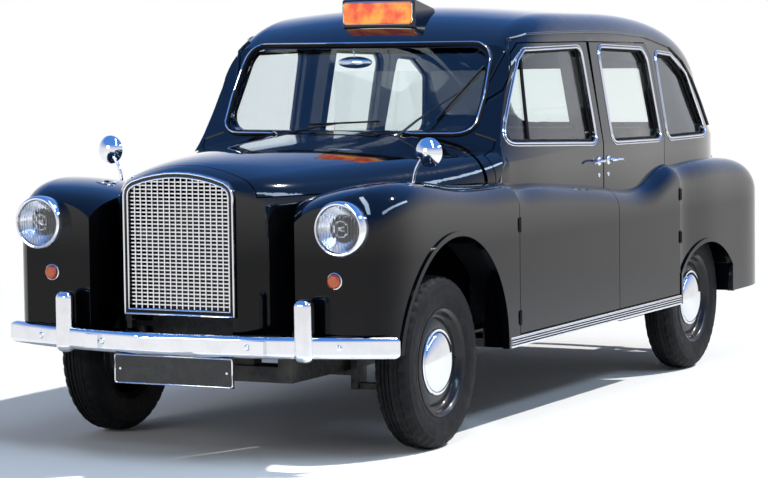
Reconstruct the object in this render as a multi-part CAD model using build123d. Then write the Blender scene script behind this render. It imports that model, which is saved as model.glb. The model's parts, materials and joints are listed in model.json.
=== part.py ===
from build123d import *
import math
import os

os.makedirs("parts", exist_ok=True)

# Overall sizes of the cab, in millimetres. Front faces -Y, left side is +X, ground is z = 0.
length = 4572.0
width = 1740.0
height = 1778.0
wheelbase = 2810.0
front_overhang = 760.0
track = 1422.0

# Clearances and cutting
panel_gap = 5.0
seat_gap = 0.3
pin_gap = 0.3
overrun = 40.0
hinge_slot = 15.0

# Stations along the cab
front_end = -length / 2
front_axle = front_end + front_overhang
rear_axle = front_axle + wheelbase
nose_back = -1830.0
bonnet_front = -2140.0
bonnet_back = -905.0
door_front = -932.5
door_mid = 152.5
door_back = 912.5
cabin_back = 1890.0
tail_back = 2158.0

# Heights
sill_bottom = 345.0
sill_top = 393.0
floor_top = 420.0
floor_thick = 20.0
wing_bottom = 420.0
bonnet_cut = 1010.0
waist = 1125.0
door_top = 1578.0

# Body side
side_half = 850.0
side_inner = 690.0
upper_half = 775.0
wall = 50.0
roof_thick = 30.0
skin = 22.0
roof_crown = 5000.0

# Wheels
tyre_radius = 340.0
tyre_width = 150.0
rim_radius = 203.0
rim_width = 122.0
rim_wall = 6.0
disc_thick = 8.0
disc_inset = 22.0
hub_radius = 62.0
cap_radius = 130.0
cap_rise = 42.0
bore_radius = 20.0
arch_radius = 465.0
lip_wide = 20.0
lip_rise = 8.0
arch_rise = 370.0
front_well = 500.0
rear_arch_radius = 510.0
rear_arch_rise = 101.0
rear_arch_back = 6.0
rear_arch_half = 343.0
rear_well = 360.0
well_inner = 300.0
rear_well_inner = 575.0

# Steering and hinges
kingpin_x = 590.0
kingpin_radius = 20.0
kingpin_half = 95.0
fork_thick = 24.0
barrel_radius = 9.0
barrel_half = 26.0
lug_reach = 26.0
lug_thick = 14.0
pillar_half = 30.0
door_inner_edge = 600.0
bonnet_barrel = 60.0
bonnet_hinge_y = bonnet_back + hinge_slot / 2
bonnet_hinge_z = 1209.0
bonnet_bow = 2660.0


# Lamps, bumpers and bright trim
lamp_x = 665.0
lamp_z = 901.0
lamp_radius = 104.0
lamp_depth = 42.0
lens_radius = 88.0
lens_depth = 12.0
indicator_x = 627.0
indicator_z = 705.0
indicator_radius = 27.0
indicator_depth = 24.0
tail_lamp_x = 712.0
tail_lamp_z = 640.0
tail_lamp_pitch = 92.0
tail_lamp_radius = 36.0
tail_lamp_depth = 26.0
bumper_low = 414.0
bumper_high = 500.0
bumper_thick = 34.0
bumper_round = 0.6
bumper_half = 869.0
bumper_sweep = 212.0
rear_bumper_half = 800.0
rear_bumper_sweep = 172.0
overrider_x = 527.0
overrider_width = 78.0
overrider_low = 400.0
overrider_high = 640.0
overrider_depth = 66.0
overrider_stand = 14.0
plate_half = 262.0
plate_high = 114.0
plate_thick = 8.0
rear_plate_z = 700.0

# Grille
grille_front = -2212.0
grille_band = 26.0
grille_bar = 5.0
grille_columns = 17
grille_rows = 34
grille_low = 560.0

# Roof sign
sign_half = 176.0
sign_front = -512.0
sign_back = -300.0
sign_top = 1776.0
sign_base = 1640.0
sign_round = 12.0
sign_lens_thick = 7.0

# Mirrors
mirror_x = 730.0
mirror_foot = 1000.0
mirror_z = 1160.0
mirror_radius = 58.0
mirror_depth = 36.0
mirror_lean = 62.0
stalk_radius = 6.5

# Inside
driver_x = -350.0
driver_half = 260.0
driver_front = -330.0
driver_back = 190.0
driver_top = 790.0
driver_back_top = 1180.0
cushion_thick = 130.0
back_thick = 120.0
partition_y = 262.0
partition_thick = 24.0
partition_half = 676.0
partition_top = 1090.0
partition_glass_top = 1450.0
rear_seat_half = 545.0
rear_seat_front = 780.0
rear_seat_back = 1330.0
rear_seat_top = 800.0
rear_back_top = 1160.0
tip_half = 200.0
tip_x = 330.0
dash_back = -610.0
dash_low = 850.0
dash_high = 1130.0
dash_half = 590.0
wheel_rim_radius = 212.0
wheel_grip = 12.0
wheel_y = -420.0
wheel_z = 1010.0
wheel_tilt = 32.0

# Chassis and running gear
rail_x = 365.0
rail_wide = 60.0
rail_low = 300.0
rail_high = 396.0
rail_front = -2050.0
rail_back = 2060.0
kick_rise = 120.0
tie_down_x = 290.0
tie_down_radius = 10.25
tie_bar_y = 1880.0
heel_y = 745.0
rear_floor = 550.0
boot_floor_back = 1740.0
engine_half = 190.0
engine_front = -1850.0
engine_back = -1130.0
engine_low = 410.0
engine_high = 900.0
gearbox_radius = 130.0
gearbox_back = -560.0
gearbox_z = 360.0
shaft_radius = 38.0
axle_radius = 42.0
diff_radius = 150.0
diff_half = 95.0
brake_radius = 140.0
brake_wide = 60.0
spring_x = 470.0
spring_wide = 60.0
spring_half = 640.0
spring_thick = 36.0
radiator_half = 225.0
radiator_high = 980.0
radiator_y = -2040.0
radiator_thick = 60.0
tank_front = 1560.0
tank_back = 1830.0
tank_low = 400.0
tank_thick = 115.0
pipe_radius = 24.0
pipe_z = 320.0
silencer_radius = 70.0
silencer_front = 200.0
silencer_back = 700.0


# Helpers for solids in the cab's own frame
def block(x_low, x_high, y_low, y_high, z_low, z_high):
    centre = ((x_low + x_high) / 2, (y_low + y_high) / 2, (z_low + z_high) / 2)
    return Pos(*centre) * Box(abs(x_high - x_low), abs(y_high - y_low), abs(z_high - z_low))


def side_prism(points, x_low, x_high):
    plane = Plane(origin=(x_low, 0, 0), x_dir=(0, 1, 0), z_dir=(1, 0, 0))
    return extrude(plane * Polygon(*points, align=None), amount=x_high - x_low, dir=(1, 0, 0))


def side_shape(edges, x_low, x_high):
    plane = Plane(origin=(x_low, 0, 0), x_dir=(0, 1, 0), z_dir=(1, 0, 0))
    return extrude(plane * make_face(edges), amount=x_high - x_low, dir=(1, 0, 0))


def front_plane(y):
    return Plane(origin=(0, y, 0), x_dir=(1, 0, 0), z_dir=(0, -1, 0))


def rod_x(x_low, x_high, y, z, radius):
    return Pos((x_low + x_high) / 2, y, z) * Rot(0, 90, 0) * Cylinder(radius, abs(x_high - x_low))


def rod_y(x, y_low, y_high, z, radius):
    return Pos(x, (y_low + y_high) / 2, z) * Rot(90, 0, 0) * Cylinder(radius, abs(y_high - y_low))


def rod_z(x, y, z_low, z_high, radius):
    return Pos(x, y, (z_low + z_high) / 2) * Cylinder(radius, abs(z_high - z_low))


def both(solid):
    return solid + mirror(solid, about=Plane.YZ)


def loft_faces(wires):
    return loft([make_face(wire) for wire in wires])


# Crowned section: flat bottom, straight sides, round shoulders tangent to a crowned top
def crowned_section(y, half, top_half, z_low, z_side, z_top, radius, crown):
    centre_x = top_half - radius
    centre_z = z_top - crown + math.sqrt((crown - radius) ** 2 - centre_x**2)
    reach = crown / (crown - radius)
    touch_x = centre_x * reach
    touch_z = z_top - crown + (centre_z - z_top + crown) * reach
    angle = math.atan2(touch_z - centre_z, touch_x - centre_x) / 2
    mid_x = centre_x + radius * math.cos(angle)
    mid_z = centre_z + radius * math.sin(angle)
    edges = [
        Line((-half, z_low), (half, z_low)),
        Line((half, z_low), (half, z_side)),
        Line((half, z_side), (top_half, centre_z)),
        ThreePointArc((top_half, centre_z), (mid_x, mid_z), (touch_x, touch_z)),
        ThreePointArc((touch_x, touch_z), (0, z_top), (-touch_x, touch_z)),
        ThreePointArc((-touch_x, touch_z), (-mid_x, mid_z), (-top_half, centre_z)),
        Line((-top_half, centre_z), (-half, z_side)),
        Line((-half, z_side), (-half, z_low)),
    ]
    return front_plane(y) * Wire(edges)


# Wing section: straight outside, round shoulder, top falling away to the inner side
def wing_section(y, x_in, x_out, z_low, z_top, radius, drop):
    shoulder = (x_out - radius, z_top)
    diagonal = radius * math.sqrt(0.5)
    middle = (x_out - radius + diagonal, z_top - radius + diagonal)
    span = x_out - radius - x_in
    bend = (span**2 + drop**2) / (2 * drop)
    half_turn = math.asin(span / bend) / 2
    crest_x = x_out - radius - bend * math.sin(half_turn)
    crest_z = z_top - bend + bend * math.cos(half_turn)
    edges = [
        Line((x_in, z_low), (x_out, z_low)),
        Line((x_out, z_low), (x_out, z_top - radius)),
        ThreePointArc((x_out, z_top - radius), middle, shoulder),
        ThreePointArc(shoulder, (crest_x, crest_z), (x_in, z_top - drop)),
        Line((x_in, z_top - drop), (x_in, z_low)),
    ]
    return front_plane(y) * Wire(edges)


# Cabin sections: y and the rest as shares of length, width and height
# columns: y, waist half width, cantrail half width, side height, crown height, shoulder radius
cabin_shares = (
    (-0.2045, 0.436, 0.390, 0.612, 0.705, 0.045),
    (-0.1312, 0.440, 0.395, 0.618, 0.900, 0.062),
    (-0.0875, 0.443, 0.398, 0.624, 0.956, 0.070),
    (0.0000, 0.445, 0.401, 0.633, 0.979, 0.073),
    (0.1530, 0.445, 0.401, 0.633, 0.974, 0.073),
    (0.2625, 0.445, 0.399, 0.633, 0.944, 0.073),
    (0.3390, 0.436, 0.388, 0.633, 0.872, 0.070),
    (0.3890, 0.385, 0.340, 0.600, 0.748, 0.060),
    (0.4134, 0.310, 0.285, 0.500, 0.622, 0.050),
)


def cabin_solid(inset, roof_inset, z_low):
    wires = []
    for y_share, waist_share, rail_share, side_share, top_share, radius_share in cabin_shares:
        y = y_share * length
        if y_share == cabin_shares[0][0]:
            y = y + inset
        if y_share == cabin_shares[-1][0]:
            y = y - inset
        wires.append(
            crowned_section(
                y,
                waist_share * width - inset,
                rail_share * width - inset,
                z_low,
                side_share * height,
                top_share * height - roof_inset,
                radius_share * height - inset / 2,
                roof_crown,
            )
        )
    return loft_faces(wires)


# Bonnet and nose sections
# columns: y, half width, crown height, shoulder radius, crown radius, as shares of length, width, height
nose_shares = (
    (-0.4800, 0.141, 0.625, 0.034, 0.337),
    (-0.4283, 0.236, 0.653, 0.092, 0.440),
    (-0.3767, 0.285, 0.662, 0.110, 0.585),
    (-0.3250, 0.333, 0.669, 0.113, 0.780),
    (-0.2733, 0.379, 0.675, 0.100, 1.040),
    (-0.2217, 0.418, 0.681, 0.075, 1.400),
    (-0.1700, 0.437, 0.688, 0.042, 1.890),
)


def nose_solid(grow, z_low):
    wires = []
    for y_share, half_share, top_share, radius_share, crown_share in nose_shares:
        half = half_share * width + grow
        wires.append(
            crowned_section(
                y_share * length,
                half,
                half,
                z_low,
                z_low + overrun,
                top_share * height + grow,
                radius_share * height + grow,
                crown_share * height + grow,
            )
        )
    return loft_faces(wires)


# Front wing sections
# columns: y, inner side, outer side, crest, shoulder radius, as shares of length, width, height
front_wing_shares = (
    (-0.4650, 0.262, 0.4300, 0.551, 0.080),
    (-0.4320, 0.240, 0.4815, 0.592, 0.069),
    (-0.3990, 0.236, 0.4880, 0.598, 0.062),
    (-0.3660, 0.236, 0.4885, 0.593, 0.058),
    (-0.3330, 0.236, 0.4885, 0.583, 0.056),
    (-0.3000, 0.236, 0.4885, 0.575, 0.056),
    (-0.2670, 0.236, 0.4885, 0.571, 0.056),
    (-0.2340, 0.236, 0.4885, 0.570, 0.056),
    (-0.2010, 0.236, 0.4885, 0.569, 0.056),
)
wing_drop = 60.0
cabin_front = cabin_shares[0][0] * length

# Door side sections, the last four rising to the rear wing's hip
# columns: y, crest, shoulder radius, as shares of length and height
door_side_shares = (
    (-0.2045, 0.567, 0.056),
    (-0.1467, 0.560, 0.056),
    (-0.0889, 0.552, 0.056),
    (-0.0311, 0.541, 0.056),
    (0.0267, 0.528, 0.056),
    (0.0845, 0.514, 0.056),
    (0.1423, 0.529, 0.056),
    (0.2001, 0.564, 0.056),
)
door_drop = 12.0

# Rear wing sections
# columns: y, outer side, crest, shoulder radius, as shares of length, width, height
rear_wing_shares = (
    (0.1950, 0.4885, 0.563, 0.056),
    (0.2700, 0.4885, 0.566, 0.056),
    (0.3400, 0.4885, 0.564, 0.056),
    (0.4000, 0.4870, 0.553, 0.056),
    (0.4400, 0.4780, 0.527, 0.056),
    (0.4630, 0.4550, 0.485, 0.056),
)
rear_wing_inner = 600.0


def front_wing_solid(grow):
    return loft_faces(
        [
            wing_section(
                row[0] * length, row[1] * width, row[2] * width + grow, sill_bottom,
                row[3] * height, row[4] * height, wing_drop,
            )
            for row in front_wing_shares
        ]
    )


def door_side_solid():
    return loft_faces(
        [
            wing_section(
                row[0] * length, side_inner, side_half, sill_bottom,
                row[1] * height, row[2] * height, door_drop,
            )
            for row in door_side_shares
        ]
    )


def rear_wing_solid(grow):
    return loft_faces(
        [
            wing_section(
                row[0] * length, rear_wing_inner, row[1] * width + grow, sill_bottom,
                row[2] * height, row[3] * height, wing_drop,
            )
            for row in rear_wing_shares
        ]
    )


# Window outlines on the side, as (y, z)
screen_low = (-822.0, 1216.0)
screen_high = (-606.0, 1561.0)
screen_half = 596.0
screen_top_half = 572.0
screen_corner = 80.0
screen_radius = 4000.0
glass_thick = 6.0
window_corner = 42.0
front_window = ((-795.0, 1172.0), (-562.0, 1500.0), (-500.0, 1540.0), (62.0, 1548.0), (73.0, 1140.0))
rear_window = ((270.0, 1135.0), (270.0, 1548.0), (800.0, 1532.0), (852.0, 1490.0), (862.0, 1125.0))
quarter_window = ((966.0, 1125.0), (985.0, 1515.0), (1190.0, 1500.0), (1370.0, 1410.0), (1480.0, 1125.0))
back_window_half = 400.0
back_window_low = 1165.0
back_window_high = 1440.0
front_door_outline = (
    (door_front, sill_top),
    (door_front, waist),
    (-905.0, 1150.0),
    (-692.0, 1384.0),
    (-590.0, 1535.0),
    (-520.0, door_top),
    (door_mid, door_top),
    (door_mid, sill_top),
)
rear_door_outline = (
    (door_mid, sill_top),
    (door_mid, door_top),
    (door_back - 60.0, door_top - 12.0),
    (door_back, 1500.0),
    (door_back, sill_top),
)


def outline_face(points, grow, corner):
    face = Polygon(*points, align=None)
    if grow:
        face = offset(face, amount=grow, kind=Kind.INTERSECTION)
    if corner:
        face = fillet(face.vertices(), corner + grow)
    return face


def outline_prism(points, grow, corner, x_low, x_high):
    plane = Plane(origin=(x_low, 0, 0), x_dir=(0, 1, 0), z_dir=(1, 0, 0))
    return extrude(plane * outline_face(points, grow, corner), amount=x_high - x_low, dir=(1, 0, 0))


def outline_across(points, grow, corner, y_low, y_high):
    return extrude(front_plane(y_low) * outline_face(points, grow, corner), amount=y_high - y_low, dir=(0, 1, 0))


screen_outline = (
    (-screen_half, screen_low[1]), (screen_half, screen_low[1]),
    (screen_top_half, screen_high[1]), (-screen_top_half, screen_high[1]),
)
back_outline = (
    (-back_window_half, back_window_low), (back_window_half, back_window_low),
    (back_window_half, back_window_high), (-back_window_half, back_window_high),
)


# Screen: a raked drum whose front wall is the glass
def screen_drum(radius):
    rake = math.degrees(math.atan2(screen_high[0] - screen_low[0], screen_high[1] - screen_low[1]))
    foot_y = screen_low[0] - (screen_radius - math.sqrt(screen_radius**2 - screen_half**2))
    drum_height = 2 * length
    place = Pos(0, foot_y, screen_low[1]) * Rot(-rake, 0, 0) * Pos(0, screen_radius, 0)
    return place * Cylinder(radius, drum_height)


cabin_outer = cabin_solid(0, 0, sill_bottom)
cabin_inner = cabin_solid(wall, roof_thick, floor_top)
cabin_clear = cabin_solid(-seat_gap, -seat_gap, sill_bottom - overrun)
nose_outer = nose_solid(0, wing_bottom)
nose_clear = nose_solid(seat_gap, wing_bottom - overrun)
nose_inner = nose_solid(-skin, wing_bottom - overrun)
bonnet_clear = nose_solid(panel_gap, wing_bottom) & block(-width, width, -length, 0, bonnet_cut - panel_gap, height)
door_side = door_side_solid()
front_wing_blank = front_wing_solid(0)
rear_wing_blank = rear_wing_solid(0)
drum_outer = screen_drum(screen_radius)
cabin_void = cabin_inner & screen_drum(screen_radius - wall)
far = length


# The lid's rear edge bows forward at the sides; the scuttle starts behind it
def bonnet_rear(grow):
    return rod_z(0, bonnet_back - bonnet_bow, 0, height, bonnet_bow + grow)


cowl_outer = nose_outer & block(-far, far, cabin_front, screen_low[0], waist - 3 * overrun, far)

def hinge_pair(x, y, levels, reach_y):
    """Barrels of one upright hinge: fixed halves below, door halves above, each with its lug."""
    fixed, moving, room = [], [], []
    for z in levels:
        low = rod_z(x, y, z - barrel_half, z - pin_gap / 2, barrel_radius)
        high = rod_z(x, y, z + pin_gap / 2, z + barrel_half, barrel_radius)
        side = x - barrel_radius
        fixed.append(low + block(side - lug_thick, side + barrel_radius, y, y + reach_y, z - barrel_half, z - pin_gap / 2))
        moving.append(high + block(side - lug_thick, side + barrel_radius, y, y - reach_y, z + pin_gap / 2, z + barrel_half))
        room.append(rod_z(x, y, z - barrel_half - panel_gap, z + barrel_half + panel_gap, barrel_radius + panel_gap))
    return fixed, moving, room


hinge_x = side_half
front_hinge_levels = (460.0, 840.0)
rear_hinge_levels = (660.0, 860.0)
front_fixed, front_moving, front_room = hinge_pair(hinge_x, door_front, front_hinge_levels, -lug_reach)
rear_fixed, rear_moving, rear_room = hinge_pair(hinge_x, door_back, rear_hinge_levels, lug_reach)


def union(solids):
    result = solids[0]
    for solid in solids[1:]:
        result = result + solid
    return result


# Front wings
rail_room = rail_x + rail_wide / 2 + panel_gap
bumper_radius = (bumper_half**2 + bumper_sweep**2) / (2 * bumper_sweep)
bumper_room = rod_z(
    0, front_end + bumper_radius, 0, height, bumper_radius - bumper_thick - 2 * panel_gap
)


def arch_room(x_low, y, z, radius, half):
    return rod_x(x_low, far, y, z, radius) & block(0, far, y - half, y + half, 0, far)


def arch_lip(blank, y, z, radius, half):
    outer = arch_room(side_half - skin, y, z, radius + lip_wide, half + lip_wide)
    return (outer - arch_room(side_half - overrun, y, z, radius, half)) & blank


def front_wing():
    wing = front_wing_blank - nose_clear - bonnet_clear
    wing += arch_lip(front_wing_solid(lip_rise), front_axle, arch_rise, arch_radius, arch_radius)
    wing -= block(0, far, door_front - panel_gap / 2, far, 0, far)
    wing -= rod_x(well_inner, far, front_axle, arch_rise, arch_radius)
    wing -= rod_x(well_inner, side_half - skin, front_axle, arch_rise, front_well)
    wing -= block(well_inner, side_half - skin, front_axle - front_well, front_axle + front_well, 0, arch_rise)
    wing -= block(well_inner, far, front_axle - arch_radius, front_axle + arch_radius, 0, arch_rise)
    wing -= block(0, rail_room, -far, far, 0, engine_high)
    wing -= block(0, far, -far, front_axle, 0, wing_bottom)
    wing -= block(0, far, -far, front_axle, 0, bumper_high + panel_gap) - bumper_room
    wing -= union(front_room)
    return wing + union(front_fixed)


# Rear wings
rear_bumper_radius = (rear_bumper_half**2 + rear_bumper_sweep**2) / (2 * rear_bumper_sweep)
rear_bumper_room = rod_z(
    0, -front_end - rear_bumper_radius, 0, height, rear_bumper_radius - bumper_thick - 2 * panel_gap
)


def rear_wing():
    arch_y = rear_axle - rear_arch_back
    lip = arch_lip(rear_wing_solid(lip_rise), arch_y, rear_arch_rise, rear_arch_radius, rear_arch_half)
    wing = rear_wing_blank + lip
    wing -= block(0, far, -far, door_back + panel_gap / 2, 0, far)
    wing -= arch_room(well_inner, arch_y, rear_arch_rise, rear_arch_radius, rear_arch_half)
    wing -= rod_x(rear_well_inner, side_half - skin, rear_axle, tyre_radius, rear_well)
    wing -= cabin_clear
    wing -= tail_solid(-seat_gap)
    wing -= block(0, far, rear_axle, far, 0, bumper_high + panel_gap) - rear_bumper_room
    wing -= union(rear_room)
    return wing + union(rear_fixed)


# Tail: a side outline of two arcs, drawn across the cab
tail_half = 600.0
tail_front = 1500.0
tail_low_y = 1967.0
tail_mid_z = 654.0
tail_top_y = 1880.0
tail_top_z = 1105.0
tail_low_bulge = (2112.0, 470.0)
tail_high_bulge = (2096.0, 890.0)


def tail_solid(inset):
    edges = [
        Line((tail_front, sill_bottom + inset), (tail_low_y - inset, sill_bottom + inset)),
        ThreePointArc(
            (tail_low_y - inset, sill_bottom + inset),
            (tail_low_bulge[0] - inset, tail_low_bulge[1]),
            (tail_back - inset, tail_mid_z),
        ),
        ThreePointArc(
            (tail_back - inset, tail_mid_z),
            (tail_high_bulge[0] - inset, tail_high_bulge[1]),
            (tail_top_y - inset, tail_top_z - inset),
        ),
        Line((tail_top_y - inset, tail_top_z - inset), (tail_front, tail_top_z - inset)),
        Line((tail_front, tail_top_z - inset), (tail_front, sill_bottom + inset)),
    ]
    return side_shape(edges, -tail_half + inset, tail_half - inset)


tail_blank = tail_solid(0)
tail_inner = tail_solid(skin)
lid_half = 470.0
lid_low = 560.0
lid_high = 1060.0
lid_hinge_y = 1952.0
lid_hinge_z = 1068.0
lid_hinge_x = 300.0
lid_barrel = 30.0
hinge_room = barrel_radius + panel_gap


# Body shell: roof, pillars, scuttle, sills, rear quarters and tail
def pillar():
    inner = side_inner - wall
    outer = side_inner - panel_gap
    rail = cabin_shares[3][2] * width - wall
    outline = (
        (inner, sill_bottom), (outer, sill_bottom), (outer, waist - panel_gap),
        (upper_half - wall - 2 * panel_gap, waist), (rail - panel_gap, door_top),
        (rail - 3 * panel_gap, door_top + pillar_half * 2), (rail - 2 * wall, door_top + pillar_half * 2),
        (inner, waist),
    )
    plane = front_plane(door_mid - pillar_half)
    return extrude(plane * Polygon(*outline, align=None), amount=2 * pillar_half, dir=(0, 1, 0))


def wheelhouse():
    outer = rod_x(rear_well_inner - skin, side_inner + skin, rear_axle, tyre_radius, rear_well + skin)
    outer &= block(0, far, -far, far, sill_bottom, far)
    outer -= block(side_inner - panel_gap, far, -far, door_back + panel_gap / 2, 0, far)
    reach = axle_radius + panel_gap
    outer -= block(0, far, rear_axle - reach, rear_axle + reach, 0, tyre_radius + axle_radius + overrun)
    return outer - rod_x(rear_well_inner, far, rear_axle, tyre_radius, rear_well)


def lid_hinge(low, high, reach_y, reach_z):
    barrel = rod_x(low, high, lid_hinge_y, lid_hinge_z, barrel_radius)
    near_y, far_y = sorted((lid_hinge_y, lid_hinge_y + reach_y))
    near_z, far_z = sorted((lid_hinge_z, lid_hinge_z + reach_z))
    return both(barrel + block(low, high, near_y, far_y, near_z, far_z))


def bonnet_hinge(low, high, reach_y):
    near, away = sorted((bonnet_hinge_y, bonnet_hinge_y + reach_y))
    barrel = rod_x(low, high, bonnet_hinge_y, bonnet_hinge_z, barrel_radius)
    return both(barrel + block(low, high, near, away, bonnet_hinge_z - barrel_radius, bonnet_hinge_z))


def bumper_stay(grow, near, away):
    return block(
        rail_x - rail_wide / 2 - grow, rail_x + rail_wide / 2 + grow, near, away,
        bumper_low + bumper_thick / 2 - grow, bumper_high - bumper_thick / 2 + grow,
    )


def body_shell():
    shell = (cabin_outer & drum_outer) - cabin_void
    shell -= block(-side_inner + wall, side_inner - wall, -far, cabin_back, 0, floor_top)
    shell -= bonnet_clear & bonnet_rear(hinge_slot)
    scuttle = (nose_outer - nose_inner) & block(-far, far, cabin_front - wall, screen_low[0], waist - 3 * overrun, far)
    scuttle -= bonnet_rear(hinge_slot)
    tail = (tail_blank - tail_inner) - block(-far, far, 0, cabin_back - wall, 0, far)
    tail -= block(-tail_half + skin, tail_half - skin, 0, tail_low_y - skin, 0, floor_top)
    sill = block(
        side_inner - wall, side_half, door_front - panel_gap / 2, door_back + panel_gap / 2,
        sill_bottom, sill_top - panel_gap / 2,
    )
    shell = shell + scuttle + tail + both(sill)
    shell -= block(-lid_half, lid_half, tail_front, far, lid_low, lid_high)
    shell -= both(outline_prism(front_door_outline, panel_gap / 2, 0, wall * 2, far) & door_band(0))
    shell -= both(outline_prism(rear_door_outline, panel_gap / 2, 0, wall * 2, far) & door_band(0))
    shell -= both(outline_prism(quarter_window, 0, window_corner, side_inner / 2, far))
    shell -= outline_across(screen_outline, 0, screen_corner, -length, screen_high[0] + wall)
    shell -= outline_across(back_outline, 0, screen_corner, tail_front, length)
    shell -= both(union(front_room + rear_room))
    shell -= both(rod_x(rear_well_inner, far, rear_axle, tyre_radius, rear_well))
    shell -= block(
        -rail_room, rail_room, heel_y, rail_back + 3 * panel_gap, rail_high, rear_floor - floor_thick
    )
    shell -= both(bumper_stay(panel_gap, rail_back, far))
    shell -= both(rod_x(lid_hinge_x - panel_gap, lid_hinge_x + lid_barrel, lid_hinge_y, lid_hinge_z, hinge_room))
    shell -= both(rod_x(0, bonnet_barrel + panel_gap, bonnet_hinge_y, bonnet_hinge_z, hinge_room))
    shell += lid_hinge(lid_hinge_x + lid_barrel + pin_gap, lid_hinge_x + 2 * lid_barrel, -lug_reach, lug_reach)
    shell += bonnet_hinge(bonnet_barrel + pin_gap, 2 * bonnet_barrel, lug_reach)
    return shell + both(pillar()) + both(wheelhouse())


rear_arch_front = rear_axle - rear_arch_back - rear_arch_half


# Doors reach in to the pillars, and at the cowl only to the scuttle's shoulder
def door_band(gap):
    band = block(door_inner_edge, far, -far, far, sill_top - panel_gap / 2, far)
    return band - block(0, side_inner + gap, -far, screen_low[0] + gap, waist - 3 * overrun - gap, far)


def pane(outline):
    outer = cabin_solid(wall / 2 - glass_thick / 2, roof_thick, floor_top)
    inner = cabin_solid(wall / 2 + glass_thick / 2, roof_thick + glass_thick, floor_top)
    shape = outline_prism(outline, -seat_gap, window_corner, wall * 2, far) & screen_drum(screen_radius - skin)
    return (outer & shape) - inner


def door(outline, window, moving, room, hinge_y):
    blank = (cabin_outer & drum_outer & half_room) + (cowl_outer & half_room) + door_side
    blank -= cabin_void
    blank -= block(0, side_inner, -far, far, 0, waist)
    leaf = blank & outline_prism(outline, -panel_gap / 2, 0, wall * 2, far) & door_band(panel_gap)
    leaf -= outline_prism(window, 0, window_corner, wall * 2, far)
    leaf -= union(room)
    leaf &= rod_z(hinge_x, hinge_y, 0, far, abs(door_mid - hinge_y) - panel_gap / 2)
    return leaf + union(moving)


half_room = block(0, far, -far, far, 0, far)


# Nose panel round the grille, and the bonnet lid behind it
def nose_panel():
    shell = nose_outer - nose_inner
    front = shell & block(-far, far, -far, bonnet_front, 0, far)
    sides = shell & block(-far, far, bonnet_front - seat_gap, nose_back, 0, bonnet_cut)
    return front + sides - both(bumper_stay(panel_gap, -far, rail_front))


def bonnet():
    lid = (nose_outer - nose_inner) & block(-far, far, bonnet_front + panel_gap, 0, bonnet_cut + panel_gap, far)
    lid &= bonnet_rear(0)
    lid -= both(
        rod_x(bonnet_barrel - panel_gap, 2 * bonnet_barrel + panel_gap, bonnet_hinge_y, bonnet_hinge_z, hinge_room)
    )
    return lid + bonnet_hinge(0, bonnet_barrel, -lug_reach)


def boot_lid():
    room = block(
        -lid_half + panel_gap, lid_half - panel_gap, cabin_back, far, lid_low + panel_gap, lid_high - panel_gap
    )
    lid = (tail_blank - tail_inner) & room
    fixed_low, fixed_high = lid_hinge_x + lid_barrel - panel_gap, lid_hinge_x + 2 * lid_barrel + panel_gap
    lid -= both(rod_x(fixed_low, fixed_high, lid_hinge_y, lid_hinge_z, hinge_room))
    return lid + lid_hinge(lid_hinge_x, lid_hinge_x + lid_barrel, barrel_radius, -2 * lug_reach)


# Grille: ridged surround, upright bars in front of level bars
def grille_face(inset):
    y_share, half_share, top_share, radius_share, crown_share = nose_shares[0]
    half = half_share * width - inset
    low = grille_low + inset
    wire = crowned_section(
        y_share * length, half, half, low, low + overrun, top_share * height - inset,
        radius_share * height - inset / 2, crown_share * height - inset,
    )
    return make_face(wire)


def grille_surround():
    depth = nose_shares[0][0] * length - grille_front
    ring = extrude(grille_face(0), amount=depth, dir=(0, -1, 0))
    return ring - extrude(grille_face(grille_band), amount=depth, dir=(0, -1, 0))


def grille():
    back = nose_shares[0][0] * length
    depth = back - grille_front
    half = nose_shares[0][1] * width - grille_band
    low = grille_low + grille_band
    high = nose_shares[0][2] * height - grille_band
    pitch_x = 2 * half / grille_columns
    pitch_z = (high - low) / grille_rows
    middle = (back + grille_front) / 2
    thin = grille_bar / 2
    bars = []
    for column in range(1, grille_columns):
        x = -half + column * pitch_x
        bars.append(block(x - thin, x + thin, middle - grille_bar, middle, low - thin, high + thin))
    for row in range(1, grille_rows):
        z = low + row * pitch_z
        bars.append(block(-half - thin, half + thin, middle, middle + grille_bar, z - thin, z + thin))
    envelope = extrude(grille_face(grille_band + seat_gap), amount=depth, dir=(0, -1, 0))
    first = bars[0] & envelope
    return first + [bar & envelope for bar in bars[1:]]


wing_cap = front_wing_shares[0][0] * length
rear_wing_cap = rear_wing_shares[-1][0] * length


def headlamps():
    shell = rod_y(lamp_x, wing_cap - lamp_depth, wing_cap, lamp_z, lamp_radius)
    shell -= rod_y(lamp_x, wing_cap - lamp_depth - overrun, wing_cap - lamp_depth / 2, lamp_z, lens_radius)
    return both(shell)


def headlamp_lenses():
    ball_radius = (lens_radius**2 + lens_depth**2) / (2 * lens_depth)
    front = wing_cap - lamp_depth
    ball = Pos(lamp_x, front - lens_depth + ball_radius, lamp_z) * Sphere(ball_radius)
    lens = ball & rod_y(lamp_x, front - overrun, wing_cap - lamp_depth / 2, lamp_z, lens_radius - seat_gap)
    return both(lens)


def indicators():
    lens = rod_y(indicator_x, wing_cap - indicator_depth, wing_cap, indicator_z, indicator_radius)
    lens = fillet(lens.edges().filter_by(GeomType.CIRCLE).sort_by(Axis.Y)[0], indicator_depth / 2)
    return both(lens)


def tail_lamps():
    lenses = []
    for step in range(2):
        z = tail_lamp_z + step * tail_lamp_pitch
        lens = rod_y(tail_lamp_x, rear_wing_cap, rear_wing_cap + tail_lamp_depth, z, tail_lamp_radius)
        lenses.append(fillet(lens.edges().filter_by(GeomType.CIRCLE).sort_by(Axis.Y)[-1], tail_lamp_depth / 2))
    return both(union(lenses))


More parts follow.
